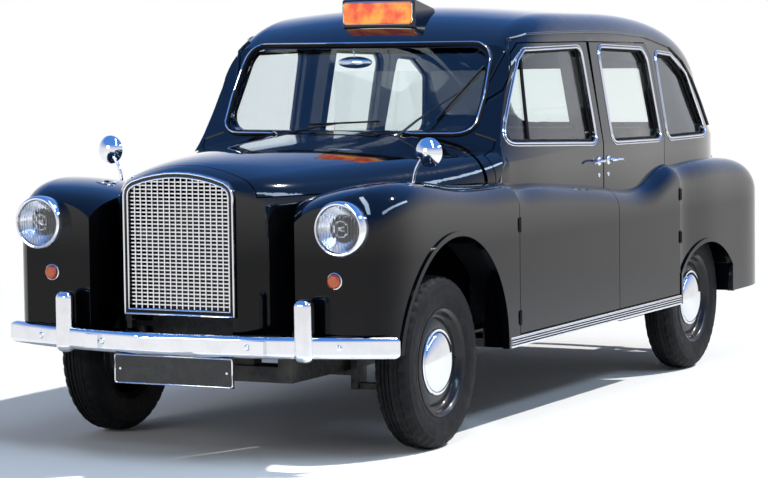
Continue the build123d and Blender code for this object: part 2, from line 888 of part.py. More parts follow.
# Bumpers: a bar bent to one wide arc, with two posts
def bumper(half, sweep, face_y, way, rail_end):
    radius = (half**2 + sweep**2) / (2 * sweep)
    centre = face_y - way * radius
    middle = (bumper_low + bumper_high) / 2
    ring = Pos(0, centre, middle) * Cylinder(radius, bumper_high - bumper_low)
    ring = fillet(ring.edges().filter_by(GeomType.CIRCLE), bumper_thick * bumper_round)
    ring -= Pos(0, centre, middle) * Cylinder(radius - bumper_thick, height)
    near, away = sorted((face_y + way * overrun, face_y - way * sweep))
    bar = ring & block(-half, half, near, away, 0, height)
    post_y = centre + way * (math.sqrt(radius**2 - overrider_x**2) + overrider_stand)
    near, away = sorted((post_y, post_y - way * overrider_depth))
    post_low, post_high = overrider_x - overrider_width / 2, overrider_x + overrider_width / 2
    post = block(post_low, post_high, near, away, overrider_low, overrider_high)
    post = fillet(post.edges(), overrider_width * 0.38)
    near, away = sorted((face_y - way * bumper_thick / 2, rail_end))
    return bar + both(post) + both(bumper_stay(0, near, away))


def front_bumper():
    return bumper(bumper_half, bumper_sweep, front_end, -1, rail_front - seat_gap)


def rear_bumper():
    return bumper(rear_bumper_half, rear_bumper_sweep, -front_end, 1, rail_back + seat_gap)


def front_plate():
    face = front_end + bumper_thick * bumper_round
    top = bumper_low - seat_gap
    return block(-plate_half, plate_half, face, face + plate_thick, top - plate_high, top)


def rear_plate():
    low, high = rear_plate_z - plate_high / 2, rear_plate_z + plate_high / 2
    panel = block(-plate_half, plate_half, tail_back - skin, tail_back + plate_thick, low, high)
    return panel - tail_solid(-seat_gap)


def sill_strips():
    face = side_half + seat_gap
    room = lip_wide + panel_gap
    near, away = front_axle + arch_radius + room, rear_arch_front - room
    strip = block(face, face + panel_gap, near, away, sill_bottom, sill_top - panel_gap)
    return both(strip)


def roof_sign():
    outline = (
        (sign_front, sign_base), (sign_back, sign_base), (sign_back, sign_top - sign_half / 4),
        (sign_front, sign_top),
    )
    sign = side_prism(outline, -sign_half, sign_half)
    return fillet(sign.edges(), sign_round) - cabin_clear


def sign_lens():
    lens = block(
        -sign_half + sign_lens_thick * 2, sign_half - sign_lens_thick * 2, sign_front - sign_lens_thick, sign_front,
        sign_base + sign_lens_thick * 4, sign_top - sign_lens_thick * 3,
    )
    lens = fillet(lens.edges().filter_by(Axis.Y), sign_round)
    return lens - cabin_clear


def wing_mirrors():
    ball_radius = (mirror_radius**2 + mirror_depth**2) / (2 * mirror_depth)
    head = Pos(mirror_x, front_axle - mirror_depth + ball_radius, mirror_z) * Sphere(ball_radius)
    head &= block(0, far, -far, front_axle, 0, far)
    y = front_axle - mirror_depth / 2
    foot = (mirror_x - mirror_lean, y, mirror_foot)
    elbow = (mirror_x - mirror_lean * 0.85, y, (mirror_foot + mirror_z) / 2)
    path = ThreePointArc(foot, elbow, (mirror_x, y, mirror_z))
    stalk = sweep(Plane(origin=path @ 0, z_dir=path % 0) * Circle(stalk_radius), path=path)
    return both((stalk + head) - front_wing_blank)


def windscreen():
    outer = screen_drum(screen_radius - wall / 2 + glass_thick / 2)
    inner = screen_drum(screen_radius - wall / 2 - glass_thick / 2)
    area = outline_across(screen_outline, -seat_gap, screen_corner, -length, screen_high[0] + wall)
    return (area & outer) - inner


def fixed_glass():
    outer = cabin_solid(wall / 2 - glass_thick / 2, roof_thick / 2 - glass_thick / 2, floor_top)
    inner = cabin_solid(wall / 2 + glass_thick / 2, roof_thick / 2 + glass_thick / 2, floor_top)
    area = outline_across(back_outline, -seat_gap, screen_corner, tail_front, length)
    divider = block(
        -partition_half + wall, partition_half - wall, partition_y, partition_y + glass_thick,
        partition_top + seat_gap, partition_glass_top,
    )
    return both(pane(quarter_window)) + ((outer & area) - inner) + divider


# Inside: floor, seats, dash, partition
def floor_pan():
    half = side_inner - wall - seat_gap
    front = block(-half, half, cabin_front, heel_y, floor_top - floor_thick, floor_top)
    heel = block(-half, half, heel_y - floor_thick, heel_y, floor_top - floor_thick, rear_floor)
    back = block(-half, half, heel_y - floor_thick, boot_floor_back, rear_floor - floor_thick, rear_floor)
    inner, radius = rear_well_inner - skin - seat_gap, rear_well + skin + seat_gap
    return front + heel + back - both(rod_x(inner, far, rear_axle, tyre_radius, radius))


def cushion(x_low, x_high, y_low, y_high, z_low, z_high):
    solid = block(x_low, x_high, y_low, y_high, z_low, z_high)
    return fillet(solid.edges(), min(y_high - y_low, z_high - z_low) / 4)


def bench(x_mid, half, front, back, floor, top, back_top):
    plinth = block(
        x_mid - half + overrun, x_mid + half - overrun, front + overrun, back,
        floor + seat_gap, top - cushion_thick / 2,
    )
    seat = cushion(x_mid - half, x_mid + half, front, back, top - cushion_thick, top)
    rest = cushion(x_mid - half, x_mid + half, back - back_thick, back, top - cushion_thick, back_top)
    return plinth + seat + rest


def driver_seat():
    return bench(driver_x, driver_half, driver_front, driver_back, floor_top, driver_top, driver_back_top)


def rear_seat():
    return bench(0, rear_seat_half, rear_seat_front, rear_seat_back, rear_floor, rear_seat_top, rear_back_top)


def tip_up_seats():
    front = partition_y + partition_thick + seat_gap
    low = floor_top + overrun
    return both(cushion(tip_x - tip_half, tip_x + tip_half, front, front + cushion_thick / 2, low, rear_seat_top))


def partition():
    back = partition_y + partition_thick
    return block(-partition_half, partition_half, partition_y, back, floor_top + seat_gap, partition_top)


def dashboard():
    panel = block(-dash_half, dash_half, cabin_front + wall + seat_gap, dash_back, dash_low, dash_high)
    panel &= screen_drum(screen_radius - wall - seat_gap)
    return panel - block(-far, far, -far, screen_low[0] + seat_gap, waist - 3 * overrun - seat_gap, far)


def steering_wheel():
    place = Pos(driver_x, wheel_y, wheel_z) * Rot(wheel_tilt - 90, 0, 0)
    solid = Torus(wheel_rim_radius, wheel_grip) + Cylinder(wheel_rim_radius / 5, wheel_grip * 2)
    for turn in range(3):
        spoke = Pos(wheel_rim_radius / 2, 0, 0) * Box(wheel_rim_radius, wheel_grip * 2, wheel_grip)
        solid += Rot(0, 0, turn * 120) * spoke
    solid += Pos(0, 0, -wheel_rim_radius) * Cylinder(wheel_grip * 2, 2 * wheel_rim_radius)
    return (place * solid) - block(-dash_half, dash_half, -far, dash_back + seat_gap, 0, far)


# Chassis: side rails kicked up over the rear axle, joined by cross members
def chassis_frame():
    top = rail_high + kick_rise
    under = rail_low + kick_rise
    outline = (
        (rail_front, rail_low),
        (heel_y - overrun, rail_low),
        (heel_y + kick_rise, under),
        (rail_back, under),
        (rail_back, top),
        (heel_y + kick_rise, top),
        (heel_y + seat_gap, rail_high),
        (rail_front, rail_high),
    )
    frame = both(side_prism(outline, rail_x - rail_wide / 2, rail_x + rail_wide / 2))
    tie_bar = (tie_bar_y - rail_wide / 2, under)
    for y, low in ((rail_front, rail_low), (gearbox_back, rail_low), tie_bar, (rail_back - rail_wide, under)):
        frame += block(-rail_x, rail_x, y, y + rail_wide, low, low + rail_wide)
    for y in (rail_front + rail_wide / 2, tie_bar_y):
        frame -= both(rod_z(tie_down_x, y, 0, far, tie_down_radius))
    return frame


# Road wheels
# columns: radius, half width, as shares of the tyre's radius and width
tyre_shares = ((0.597, 0.393), (0.700, 0.480), (0.800, 0.500), (0.885, 0.473), (0.953, 0.393), (1.000, 0.273))


def tyre():
    side = [(radius * tyre_radius, half * tyre_width) for radius, half in tyre_shares]
    profile = Polyline(*[(radius, -half) for radius, half in side], *reversed(side), close=True)
    return Rot(0, 90, 0) * revolve(Plane.XZ * make_face(profile), Axis.Z)


hub_face = rim_width / 2 - disc_inset


def road_wheel():
    outer = rim_radius - seat_gap
    rim = Cylinder(outer, rim_width) - Cylinder(outer - rim_wall * 2, rim_width)
    disc = Pos(0, 0, hub_face) * Cylinder(outer - rim_wall, disc_thick)
    hub = Pos(0, 0, hub_face) * Cylinder(hub_radius, 3 * disc_thick)
    ball_radius = (cap_radius**2 + cap_rise**2) / (2 * cap_rise)
    cap = Pos(0, 0, hub_face + cap_rise - ball_radius) * Sphere(ball_radius)
    cap &= Pos(0, 0, hub_face + cap_rise / 2) * Cylinder(cap_radius, cap_rise)
    bore = Pos(0, 0, hub_face - disc_thick) * Cylinder(bore_radius + pin_gap, 2 * disc_thick)
    return Rot(0, 90, 0) * (rim + disc + hub + cap - bore)


def at_wheel(solid, side, y):
    if side < 0:
        solid = mirror(solid, about=Plane.YZ)
    return Pos(side * track / 2, y, tyre_radius) * solid


# Knuckle: upright post with brake drum and stub axle
brake_out = track / 2 + hub_face - 3 * disc_thick


def stub_axle(x_in):
    stub = rod_x(x_in, track / 2 + hub_face - pin_gap, 0, tyre_radius, bore_radius)
    return stub + rod_x(brake_out - brake_wide, brake_out, 0, tyre_radius, brake_radius)


def knuckle():
    post = rod_z(kingpin_x, 0, tyre_radius - kingpin_half, tyre_radius + kingpin_half, kingpin_radius)
    neck = rod_x(kingpin_x, brake_out - brake_wide, 0, tyre_radius, kingpin_radius * 2)
    return Pos(0, front_axle, 0) * (post + neck + stub_axle(kingpin_x))


def front_suspension():
    inner = rail_x + rail_wide / 2 + seat_gap
    reach = kingpin_half + fork_thick + seat_gap
    beam = block(-rail_x, rail_x, front_axle - overrun, front_axle + overrun, rail_low - fork_thick, rail_low - seat_gap)
    side = block(
        rail_x, inner + rail_wide / 2, front_axle - overrun, front_axle + overrun,
        rail_low - fork_thick, rail_low - seat_gap,
    )
    side += block(
        inner, inner + rail_wide / 2, front_axle - overrun, front_axle + overrun,
        rail_low - fork_thick, tyre_radius + reach,
    )
    for z in (tyre_radius - reach, tyre_radius + reach - fork_thick):
        side += block(
            inner, kingpin_x + kingpin_radius, front_axle - overrun / 2, front_axle + overrun / 2, z, z + fork_thick
        )
    side += block(
        inner, inner + rail_wide / 2, front_axle - overrun, front_axle + overrun, tyre_radius - reach, rail_low
    )
    return beam + both(side)


def rear_axle_beam():
    tube = rod_x(0, brake_out - brake_wide, 0, tyre_radius, axle_radius)
    casing = rod_x(0, diff_half, 0, tyre_radius, diff_radius)
    side = Pos(0, rear_axle, 0) * (tube + casing + stub_axle(0))
    return both(side)


def leaf_springs():
    top = tyre_radius - axle_radius - seat_gap
    leaf = block(
        spring_x - spring_wide / 2, spring_x + spring_wide / 2, rear_axle - spring_half, rear_axle + spring_half,
        top - spring_thick, top,
    )
    return both(leaf)


def engine():
    body = block(-engine_half, engine_half, engine_front, engine_back, engine_low, engine_high)
    box = rod_y(0, engine_back - overrun, gearbox_back - seat_gap, gearbox_z, gearbox_radius)
    room = block(-far, far, -far, far, 0, floor_top - floor_thick - seat_gap)
    room += block(-far, far, -far, cabin_front, 0, far)
    return body + ((box & room) - chassis_frame())


def propshaft():
    shaft = rod_y(0, gearbox_back + rail_wide + seat_gap, rear_axle, gearbox_z, shaft_radius)
    return shaft - rod_x(-diff_half, diff_half, rear_axle, tyre_radius, diff_radius + seat_gap)


def radiator():
    return block(
        -radiator_half, radiator_half, radiator_y, radiator_y + radiator_thick,
        rail_low + rail_wide + seat_gap, radiator_high,
    )


def fuel_tank():
    half = rail_x - rail_wide / 2 - seat_gap
    return block(-half, half, tank_front, tank_back, tank_low, tank_low + tank_thick)


def exhaust():
    pipe_x = silencer_radius + seat_gap + rail_wide / 2 - rail_x
    pipe = rod_y(pipe_x, gearbox_back + 2 * rail_wide, silencer_back, pipe_z, pipe_radius)
    return pipe + rod_y(pipe_x, silencer_front, silencer_back, pipe_z, silencer_radius)


def build():
    pieces = {
        "body_shell": body_shell(),
        "floor_pan": floor_pan(),
        "front_wings": both(front_wing()),
        "rear_wings": both(rear_wing()),
        "nose_panel": nose_panel(),
        "bonnet": bonnet(),
        "boot_lid": boot_lid(),
        "grille_surround": grille_surround(),
        "grille": grille(),
        "headlamps": headlamps(),
        "headlamp_lenses": headlamp_lenses(),
        "indicators": indicators(),
        "tail_lamps": tail_lamps(),
        "front_bumper": front_bumper(),
        "rear_bumper": rear_bumper(),
        "front_plate": front_plate(),
        "rear_plate": rear_plate(),
        "sill_strips": sill_strips(),
        "roof_sign": roof_sign(),
        "sign_lens": sign_lens(),
        "wing_mirrors": wing_mirrors(),
        "windscreen": windscreen(),
        "fixed_glass": fixed_glass(),
        "dashboard": dashboard(),
        "steering_wheel": steering_wheel(),
        "driver_seat": driver_seat(),
        "rear_seat": rear_seat(),
        "tip_up_seats": tip_up_seats(),
        "partition": partition(),
        "chassis_frame": chassis_frame(),
        "front_suspension": front_suspension(),
        "rear_axle": rear_axle_beam(),
        "leaf_springs": leaf_springs(),
        "engine": engine(),
        "propshaft": propshaft(),
        "radiator": radiator(),
        "fuel_tank": fuel_tank(),
        "exhaust": exhaust(),
        "knuckle_l": knuckle(),
        "knuckle_r": mirror(knuckle(), about=Plane.YZ),
    }
    front_leaf = door(front_door_outline, front_window, front_moving, front_room, door_front)
    rear_leaf = door(rear_door_outline, rear_window, rear_moving, rear_room, door_back)
    front_pane = pane(front_window)
    rear_pane = pane(rear_window)
    for name, leaf, glass in (("f", front_leaf, front_pane), ("r", rear_leaf, rear_pane)):
        pieces[f"door_{name}l"] = leaf
        pieces[f"door_{name}r"] = mirror(leaf, about=Plane.YZ)
        pieces[f"door_glass_{name}l"] = glass
        pieces[f"door_glass_{name}r"] = mirror(glass, about=Plane.YZ)
    for name, y in (("f", front_axle), ("r", rear_axle)):
        for side_name, side in (("l", 1), ("r", -1)):
            pieces[f"tyre_{name}{side_name}"] = at_wheel(tyre(), side, y)
            pieces[f"wheel_{name}{side_name}"] = at_wheel(road_wheel(), side, y)
    return pieces


if __name__ == "__main__":
    for name, piece in build().items():
        export_step(piece, f"parts/{name}.step")
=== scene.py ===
import itertools
import json
import math

import bpy
from mathutils import Matrix, Vector
from mathutils.bvhtree import BVHTree


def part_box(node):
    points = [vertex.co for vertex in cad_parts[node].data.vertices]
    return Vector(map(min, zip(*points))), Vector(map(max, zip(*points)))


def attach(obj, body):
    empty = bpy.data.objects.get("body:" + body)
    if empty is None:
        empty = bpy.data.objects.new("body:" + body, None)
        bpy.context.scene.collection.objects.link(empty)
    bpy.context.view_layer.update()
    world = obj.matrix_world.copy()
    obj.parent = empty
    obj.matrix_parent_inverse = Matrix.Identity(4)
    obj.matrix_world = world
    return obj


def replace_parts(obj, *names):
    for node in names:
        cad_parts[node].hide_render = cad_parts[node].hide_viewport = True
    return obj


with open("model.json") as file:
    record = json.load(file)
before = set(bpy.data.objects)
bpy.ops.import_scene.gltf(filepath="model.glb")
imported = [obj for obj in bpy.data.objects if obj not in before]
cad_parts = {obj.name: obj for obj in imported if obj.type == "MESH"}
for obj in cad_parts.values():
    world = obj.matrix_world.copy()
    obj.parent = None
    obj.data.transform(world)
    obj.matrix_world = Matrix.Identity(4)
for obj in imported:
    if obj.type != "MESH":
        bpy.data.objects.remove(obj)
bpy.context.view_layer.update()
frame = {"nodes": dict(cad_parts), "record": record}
nodes = frame["nodes"]


# Finishes
# Every surface of the cab has a finish of its own: a paint, a plating, a casting, a glass or a hide.
# A finish is one material, and sums on its values become Math nodes.
class Value:
    """An output socket. Adding to it or multiplying it adds Math nodes to its finish."""

    def __init__(self, finish, socket):
        self.finish, self.socket = finish, socket

    def _math(self, operation, first, second=0.0):
        return self.finish.node("Math", {"operation": operation}, {0: first, 1: second})

    def __add__(self, other):
        return self._math("ADD", self, other)

    def __mul__(self, other):
        return self._math("MULTIPLY", self, other)

    __radd__ = __add__
    __rmul__ = __mul__

    def sine(self):
        return self._math("SINE", self)


noise_low, noise_high = 0.3, 0.7


class Finish:
    """A material whose Principled sockets are set by name, in lower case with underscores."""

    def __init__(self, name, **sockets):
        self.material = bpy.data.materials.new(name)
        self.material.use_nodes = True
        self.tree = self.material.node_tree
        self.shader = next(n for n in self.tree.nodes if n.type == "BSDF_PRINCIPLED")
        self.set(**sockets)

    def feed(self, socket, value):
        if isinstance(value, Value):
            self.tree.links.new(value.socket, socket)
        elif isinstance(value, tuple) and len(value) == 3 and socket.type == "RGBA":
            socket.default_value = (*value, 1.0)
        else:
            socket.default_value = value

    def set(self, **sockets):
        by_name = {s.name.lower().replace(" ", "_"): s for s in self.shader.inputs}
        for name, value in sockets.items():
            self.feed(by_name[name], value)

    def node(self, kind, settings=None, inputs=None, output=0):
        node = self.tree.nodes.new("ShaderNode" + kind)
        for name, value in (settings or {}).items():
            setattr(node, name, value)
        for key, value in (inputs or {}).items():
            self.feed(node.inputs[key], value)
        return Value(self, node.outputs[output])

    def place(self):
        return self.node("TexCoord", output=3)

    def along(self, axis):
        return self.node("SeparateXYZ", inputs={0: self.place()}, output="XYZ".index(axis))

    def noise(self, scale, detail=3.0, roughness=0.5):
        inputs = {"Vector": self.place(), "Scale": scale, "Detail": detail, "Roughness": roughness}
        return self.node("TexNoise", inputs=inputs)

    def cells(self, scale, feature="F1"):
        return self.node("TexVoronoi", {"feature": feature}, {"Vector": self.place(), "Scale": scale})

    def range(self, value, low, high, to_low, to_high):
        inputs = {"Value": value, 1: low, 2: high, 3: to_low, 4: to_high}
        return self.node("MapRange", inputs=inputs)

    def spread(self, noise, low, high):
        """Noise, which stays near its middle, stretched over the values from low to high."""
        return self.range(noise, noise_low, noise_high, low, high)

    def blend(self, factor, first, second):
        return self.node("Mix", {"data_type": "RGBA"}, {0: factor, 6: first, 7: second}, output=2)

    def bump(self, height, distance, strength=1.0):
        inputs = {"Height": height, "Distance": distance, "Strength": strength}
        return self.node("Bump", inputs=inputs)


def wear(finish, clean, worn, scale, low=0.45, high=0.75):
    """A colour that turns from clean to worn in soft patches."""
    patch = finish.range(finish.noise(scale, 6.0, 0.6), low, high, 0.0, 1.0)
    return finish.blend(patch, clean, worn)


def make_paint():
    thin_coat, thin_below, full_above = 0.22, 0.78, 1.06
    paint = Finish("black_coach_paint", specular_ior_level=0.10, ior=1.5, coat_roughness=0.02)
    haze = paint.noise(2.5, 4.0)
    paint.set(
        base_color=wear(paint, (0.0012, 0.0014, 0.0022), (0.0025, 0.0027, 0.0035), 3.0),
        roughness=paint.spread(haze, 0.05, 0.12),
        coat_weight=paint.range(paint.along("Z"), thin_below, full_above, thin_coat, 1.0),
        normal=paint.bump(paint.noise(260.0, 1.0), 0.00005, 0.25),
    )
    return paint


def make_chrome():
    chrome = Finish("bright_chrome", metallic=1.0)
    smear = chrome.noise(9.0, 5.0)
    chrome.set(
        base_color=wear(chrome, (0.78, 0.79, 0.82), (0.72, 0.72, 0.75), 14.0),
        roughness=chrome.range(smear, 0.35, 0.75, 0.03, 0.11),
        normal=chrome.bump(chrome.noise(700.0, 2.0), 0.00004, 0.25),
    )
    return chrome


def make_chassis_black():
    black = Finish("chassis_black")
    grit = black.noise(45.0, 6.0, 0.65)
    black.set(
        base_color=wear(black, (0.012, 0.012, 0.012), (0.075, 0.062, 0.048), 7.0),
        roughness=black.spread(grit, 0.45, 0.8),
        normal=black.bump(grit, 0.0015, 0.5),
    )
    return black


def make_cast_metal():
    cast = Finish("cast_metal", metallic=0.6)
    grit = cast.noise(150.0, 5.0, 0.7)
    cast.set(
        base_color=wear(cast, (0.11, 0.11, 0.115), (0.055, 0.045, 0.035), 9.0),
        roughness=cast.spread(grit, 0.5, 0.75),
        normal=cast.bump(grit, 0.001, 0.6),
    )
    return cast


def make_steel():
    steel = Finish("plain_steel", metallic=0.9)
    brushed = steel.noise(60.0, 6.0, 0.7)
    steel.set(
        base_color=wear(steel, (0.30, 0.30, 0.31), (0.13, 0.09, 0.06), 6.0),
        roughness=steel.spread(brushed, 0.32, 0.55),
        normal=steel.bump(brushed, 0.0004, 0.5),
    )
    return steel


def make_glass():
    glass = Finish("window_glass", transmission_weight=1.0, ior=1.45, base_color=(0.93, 0.97, 0.96))
    film = glass.noise(4.0, 5.0)
    glass.set(roughness=glass.range(film, 0.45, 0.8, 0.0, 0.025))
    return glass


def make_lamp_glass():
    glass = Finish("fluted_lamp_glass", transmission_weight=1.0, ior=1.45, base_color=(0.96, 0.98, 1.0))
    flute_turns = 520.0
    flutes = (glass.along("X") * flute_turns).sine()
    glass.set(
        roughness=glass.range(glass.noise(30.0), 0.3, 0.8, 0.01, 0.05),
        normal=glass.bump(flutes, 0.0009, 0.8),
    )
    return glass


def make_lens(name, colour, deep):
    lens = Finish(name, transmission_weight=0.35, ior=1.49, coat_weight=0.6, coat_roughness=0.05)
    rings = lens.cells(420.0)
    lens.set(
        base_color=lens.blend(rings, deep, colour),
        roughness=lens.spread(lens.noise(40.0), 0.08, 0.16),
        normal=lens.bump(rings, 0.0008, 0.7),
    )
    return lens


def make_sign_lens():
    lens = Finish("lit_sign_lens", ior=1.49, coat_weight=0.5, coat_roughness=0.06)
    glow = lens.range(lens.noise(16.0, 2.0), 0.36, 0.62, 0.0, 1.0)
    bright = lens.blend(glow, (0.80, 0.06, 0.005), (1.0, 0.36, 0.02))
    lens.set(
        # The base colour is painted lighter where the glow is strong: painted light from the lamp behind, on
        # top of the emission.
        base_color=lens.blend(glow, (0.35, 0.02, 0.004), (0.70, 0.16, 0.01)),
        roughness=lens.spread(lens.noise(60.0), 0.12, 0.22),
        emission_color=bright,
        emission_strength=0.75,
        normal=lens.bump(lens.cells(300.0), 0.0005, 0.5),
    )
    return lens


def make_plate_black():
    plate = Finish("plate_enamel")
    scratch = plate.noise(120.0, 6.0, 0.75)
    plate.set(
        base_color=wear(plate, (0.008, 0.008, 0.009), (0.030, 0.029, 0.028), 22.0),
        roughness=plate.range(scratch, 0.35, 0.7, 0.22, 0.42),
        normal=plate.bump(scratch, 0.0002, 0.4),
    )
    return plate


def make_leather():
    leather = Finish("oxblood_leather", sheen_weight=0.05)
    grain = leather.cells(420.0)
    crease = leather.noise(28.0, 5.0, 0.6)
    leather.set(
        base_color=wear(leather, (0.105, 0.022, 0.014), (0.19, 0.055, 0.035), 11.0),
        roughness=leather.spread(crease, 0.34, 0.52),
        normal=leather.bump(grain + crease * 1.5, 0.0012, 0.6),
    )
    return leather


def make_trim():
    trim = Finish("moulded_trim")
    grain = trim.cells(650.0)
    trim.set(
        base_color=wear(trim, (0.030, 0.026, 0.024), (0.055, 0.048, 0.043), 8.0),
        roughness=trim.spread(trim.noise(35.0), 0.45, 0.65),
        normal=trim.bump(grain, 0.0006, 0.5),
    )
    return trim


def make_rubber():
    rubber = Finish("tyre_rubber", specular_ior_level=0.16)
    dust = rubber.noise(26.0, 6.0, 0.7)
    rubber.set(
        base_color=wear(rubber, (0.007, 0.007, 0.008), (0.018, 0.017, 0.016), 12.0, 0.5, 0.85),
        roughness=rubber.spread(dust, 0.55, 0.8),
        normal=rubber.bump(rubber.noise(420.0, 3.0), 0.0004, 0.5),
    )
    return rubber


def make_wheel_paint():
    enamel = Finish("wheel_enamel", coat_weight=0.35, coat_roughness=0.10, specular_ior_level=0.2)
    dust = enamel.noise(30.0, 5.0, 0.65)
    enamel.set(
        base_color=wear(enamel, (0.004, 0.004, 0.005), (0.014, 0.013, 0.012), 16.0),
        roughness=enamel.spread(dust, 0.25, 0.5),
        normal=enamel.bump(dust, 0.0004, 0.3),
    )
    return enamel


finishes = {
    "paint": make_paint(),
    "chrome": make_chrome(),
    "chassis_black": make_chassis_black(),
    "cast_metal": make_cast_metal(),
    "glass": make_glass(),
    "lamp_glass": make_lamp_glass(),
    "amber": make_lens("amber_lens", (0.90, 0.15, 0.004), (0.50, 0.04, 0.002)),
    "red_lens": make_lens("red_lens", (0.62, 0.015, 0.01), (0.25, 0.004, 0.004)),
    "plate_black": make_plate_black(),
    "leather": make_leather(),
    "trim": make_trim(),
    "tyre": make_rubber(),
    "wheel_paint": make_wheel_paint(),
    "steel": make_steel(),
    "sign_lens": make_sign_lens(),
}


def dress(obj, slot):
    obj.data.materials.clear()
    obj.data.materials.append(finishes[slot].material)
    for polygon in obj.data.polygons:
        polygon.material_index = 0


for subpart in frame["record"]["subparts"]:
    dress(nodes[subpart["node"]], subpart["material_slot"])
dress(nodes["sign_lens"], "sign_lens")

# Running gear
# The chassis, axle, springs, engine and tank are the solids as they are, in brushed black and bare castings.
# Leaf springs are stacks of flat steel, held to the axle by U-bolts and kept together by wrapped clips.
sides = ((1, "l"), (-1, "r"))
front_axle_y, rear_axle_y = -1.526, 1.284
smooth_angle = math.radians(32.0)
rearward = Vector((0, 1, 0))
parallel_below, other_lean = 1e-3, Vector((1, 0.3, 0))


def piece(name, points, faces, slot, body, smooth=True):
    """A mesh of its own, in the cab's frame, that rides on a body."""
    mesh = bpy.data.meshes.new(name)
    mesh.from_pydata([tuple(p) for p in points], [], faces)
    mesh.validate()
    mesh.update()
    obj = bpy.data.objects.new(name, mesh)
    bpy.context.scene.collection.objects.link(obj)
    dress(obj, slot)
    if smooth:
        mesh.shade_smooth()
        mesh.set_sharp_from_angle(angle=smooth_angle)
    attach(obj, body)
    return obj


def joined(parts):
    """Points and faces of several parts as one."""
    points, faces = [], []
    for part_points, part_faces in parts:
        start = len(points)
        points += part_points
        faces += [tuple(start + i for i in face) for face in part_faces]
    return points, faces


def tube(path, radius, closed=False, sides_round=10, flat=1.0, lean=Vector((0, 0, 1))):
    """A round or flattened bar along a path. radius is one number or one for each point."""
    path = [Vector(p) for p in path]
    count = len(path)
    radii = radius if isinstance(radius, list) else [radius] * count
    points, faces = [], []
    for i, centre in enumerate(path):
        before = path[i - 1] if closed or i else centre
        after = path[(i + 1) % count] if closed or i < count - 1 else centre
        along = (after - before).normalized()
        across = along.cross(lean)
        if across.length < parallel_below:
            across = along.cross(other_lean)
        across.normalize()
        up = across.cross(along) * flat
        for k in range(sides_round):
            angle = 2 * math.pi * k / sides_round
            points.append(centre + (across * math.cos(angle) + up * math.sin(angle)) * radii[i])
    for i in range(count if closed else count - 1):
        here, there = i * sides_round, (i + 1) % count * sides_round
        for k in range(sides_round):
            following = (k + 1) % sides_round
            faces.append((here + k, here + following, there + following, there + k))
    if not closed:
        faces.append(tuple(reversed(range(sides_round))))
        faces.append(tuple(range((count - 1) * sides_round, count * sides_round)))
    return points, faces


def lathe(profile, centre, axis="X", way=1, steps=48, shape=None):
    """A turned form: profile gives (place along the axis, radius), outwards for way 1."""
    points, faces = [], []
    centre = Vector(centre)
    for i in range(steps):
        angle = 2 * math.pi * i / steps
        for j, (along, radius) in enumerate(profile):
            if shape:
                radius = shape(i, j, radius)
            u, v = radius * math.cos(angle), radius * math.sin(angle)
            offset = {"X": (way * along, u, v), "Y": (u, way * along, v)}[axis]
            points.append(centre + Vector(offset))
    rows = len(profile)
    for i in range(steps):
        here, there = i * rows, (i + 1) % steps * rows
        for j in range(rows - 1):
            faces.append((here + j, here + j + 1, there + j + 1, there + j))
    return points, faces


def bar(low, high):
    """A plain flat bar between two corners."""
    points = [Vector(p) for p in itertools.product(*zip(low, high))]
    faces = [(0, 1, 3, 2), (4, 6, 7, 5), (0, 4, 5, 1), (2, 3, 7, 6), (0, 2, 6, 4), (1, 5, 7, 3)]
    return points, faces


spring_x = 0.470
spring_low, spring_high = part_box("leaf_springs")
spring_middle = (spring_low.z + spring_high.z) / 2
clip_places = (-0.42, -0.2, 0.2, 0.42)
clip_half_width, clip_half_height, clip_wire = 0.033, 0.021, 0.004
u_bolt_places = (-0.055, 0.055)
u_bolt_half_width, u_bolt_wire = 0.030, 0.006
u_bolt_outline = ((-1, 0.245), (-1, 0.37), (-0.6, 0.392), (0.6, 0.392), (1, 0.37), (1, 0.245))
leaf_count, longest_half, leaf_step = 3, 0.5, 0.12
leaf_half_width, leaf_thickness, leaf_pitch, leaf_gap = 0.029, 0.0065, 0.007, 0.0005
for side, letter in sides:
    x = side * spring_x
    clips = []
    for y in clip_places:
        loop = [
            (x + clip_half_width * a, rear_axle_y + y, spring_middle + clip_half_height * b)
            for a, b in ((-1, -1), (1, -1), (1, 1), (-1, 1))
        ]
        clips.append(tube(loop, clip_wire, closed=True, lean=rearward))
    for y in u_bolt_places:
        loop = [(x + u_bolt_half_width * a, rear_axle_y + y, z) for a, z in u_bolt_outline]
        clips.append(tube(loop, u_bolt_wire, lean=rearward))
    piece(f"spring_clips_{letter}", *joined(clips), "steel", "root")
    leaves = []
    for i in range(leaf_count):
        half = longest_half - leaf_step * i
        top = spring_low.z - leaf_gap - leaf_pitch * i
        low = (x - leaf_half_width, rear_axle_y - half, top - leaf_thickness)
        leaves.append(bar(low, (x + leaf_half_width, rear_axle_y + half, top)))
    piece(f"spring_leaves_{letter}", *joined(leaves), "steel", "root", smooth=False)


# Road wheels
# Cross-ply tyres with ribs and grooves, on pressed black steel wheels with a chrome dome held over the nuts.
# Each is turned about the hub, the tyre's tread cut into short blocks at its shoulders.
wheel_x, wheel_z = 0.711, 0.340
wheel_places = (
    ("fl", 1, front_axle_y), ("fr", -1, front_axle_y), ("rl", 1, rear_axle_y), ("rr", -1, rear_axle_y),
)
tyre_side = [
    (0.0585, 0.2030), (0.0625, 0.2085), (0.0668, 0.2200), (0.0708, 0.2380), (0.0716, 0.2400),
    (0.0706, 0.2420), (0.0738, 0.2600), (0.0748, 0.2720), (0.0742, 0.2880), (0.0722, 0.3000),
    (0.0728, 0.3020), (0.0712, 0.3045), (0.0672, 0.3170), (0.0610, 0.3260), (0.0530, 0.3325),
    (0.0470, 0.3352),
]
groove_places = (0.036, 0.019, 0.0)
crown_radius, crown_fall = 0.3396, 2.2
rib_edge, groove_edge, groove_floor, groove_depth = 0.0085, 0.0028, 0.0018, 0.008
tread = []
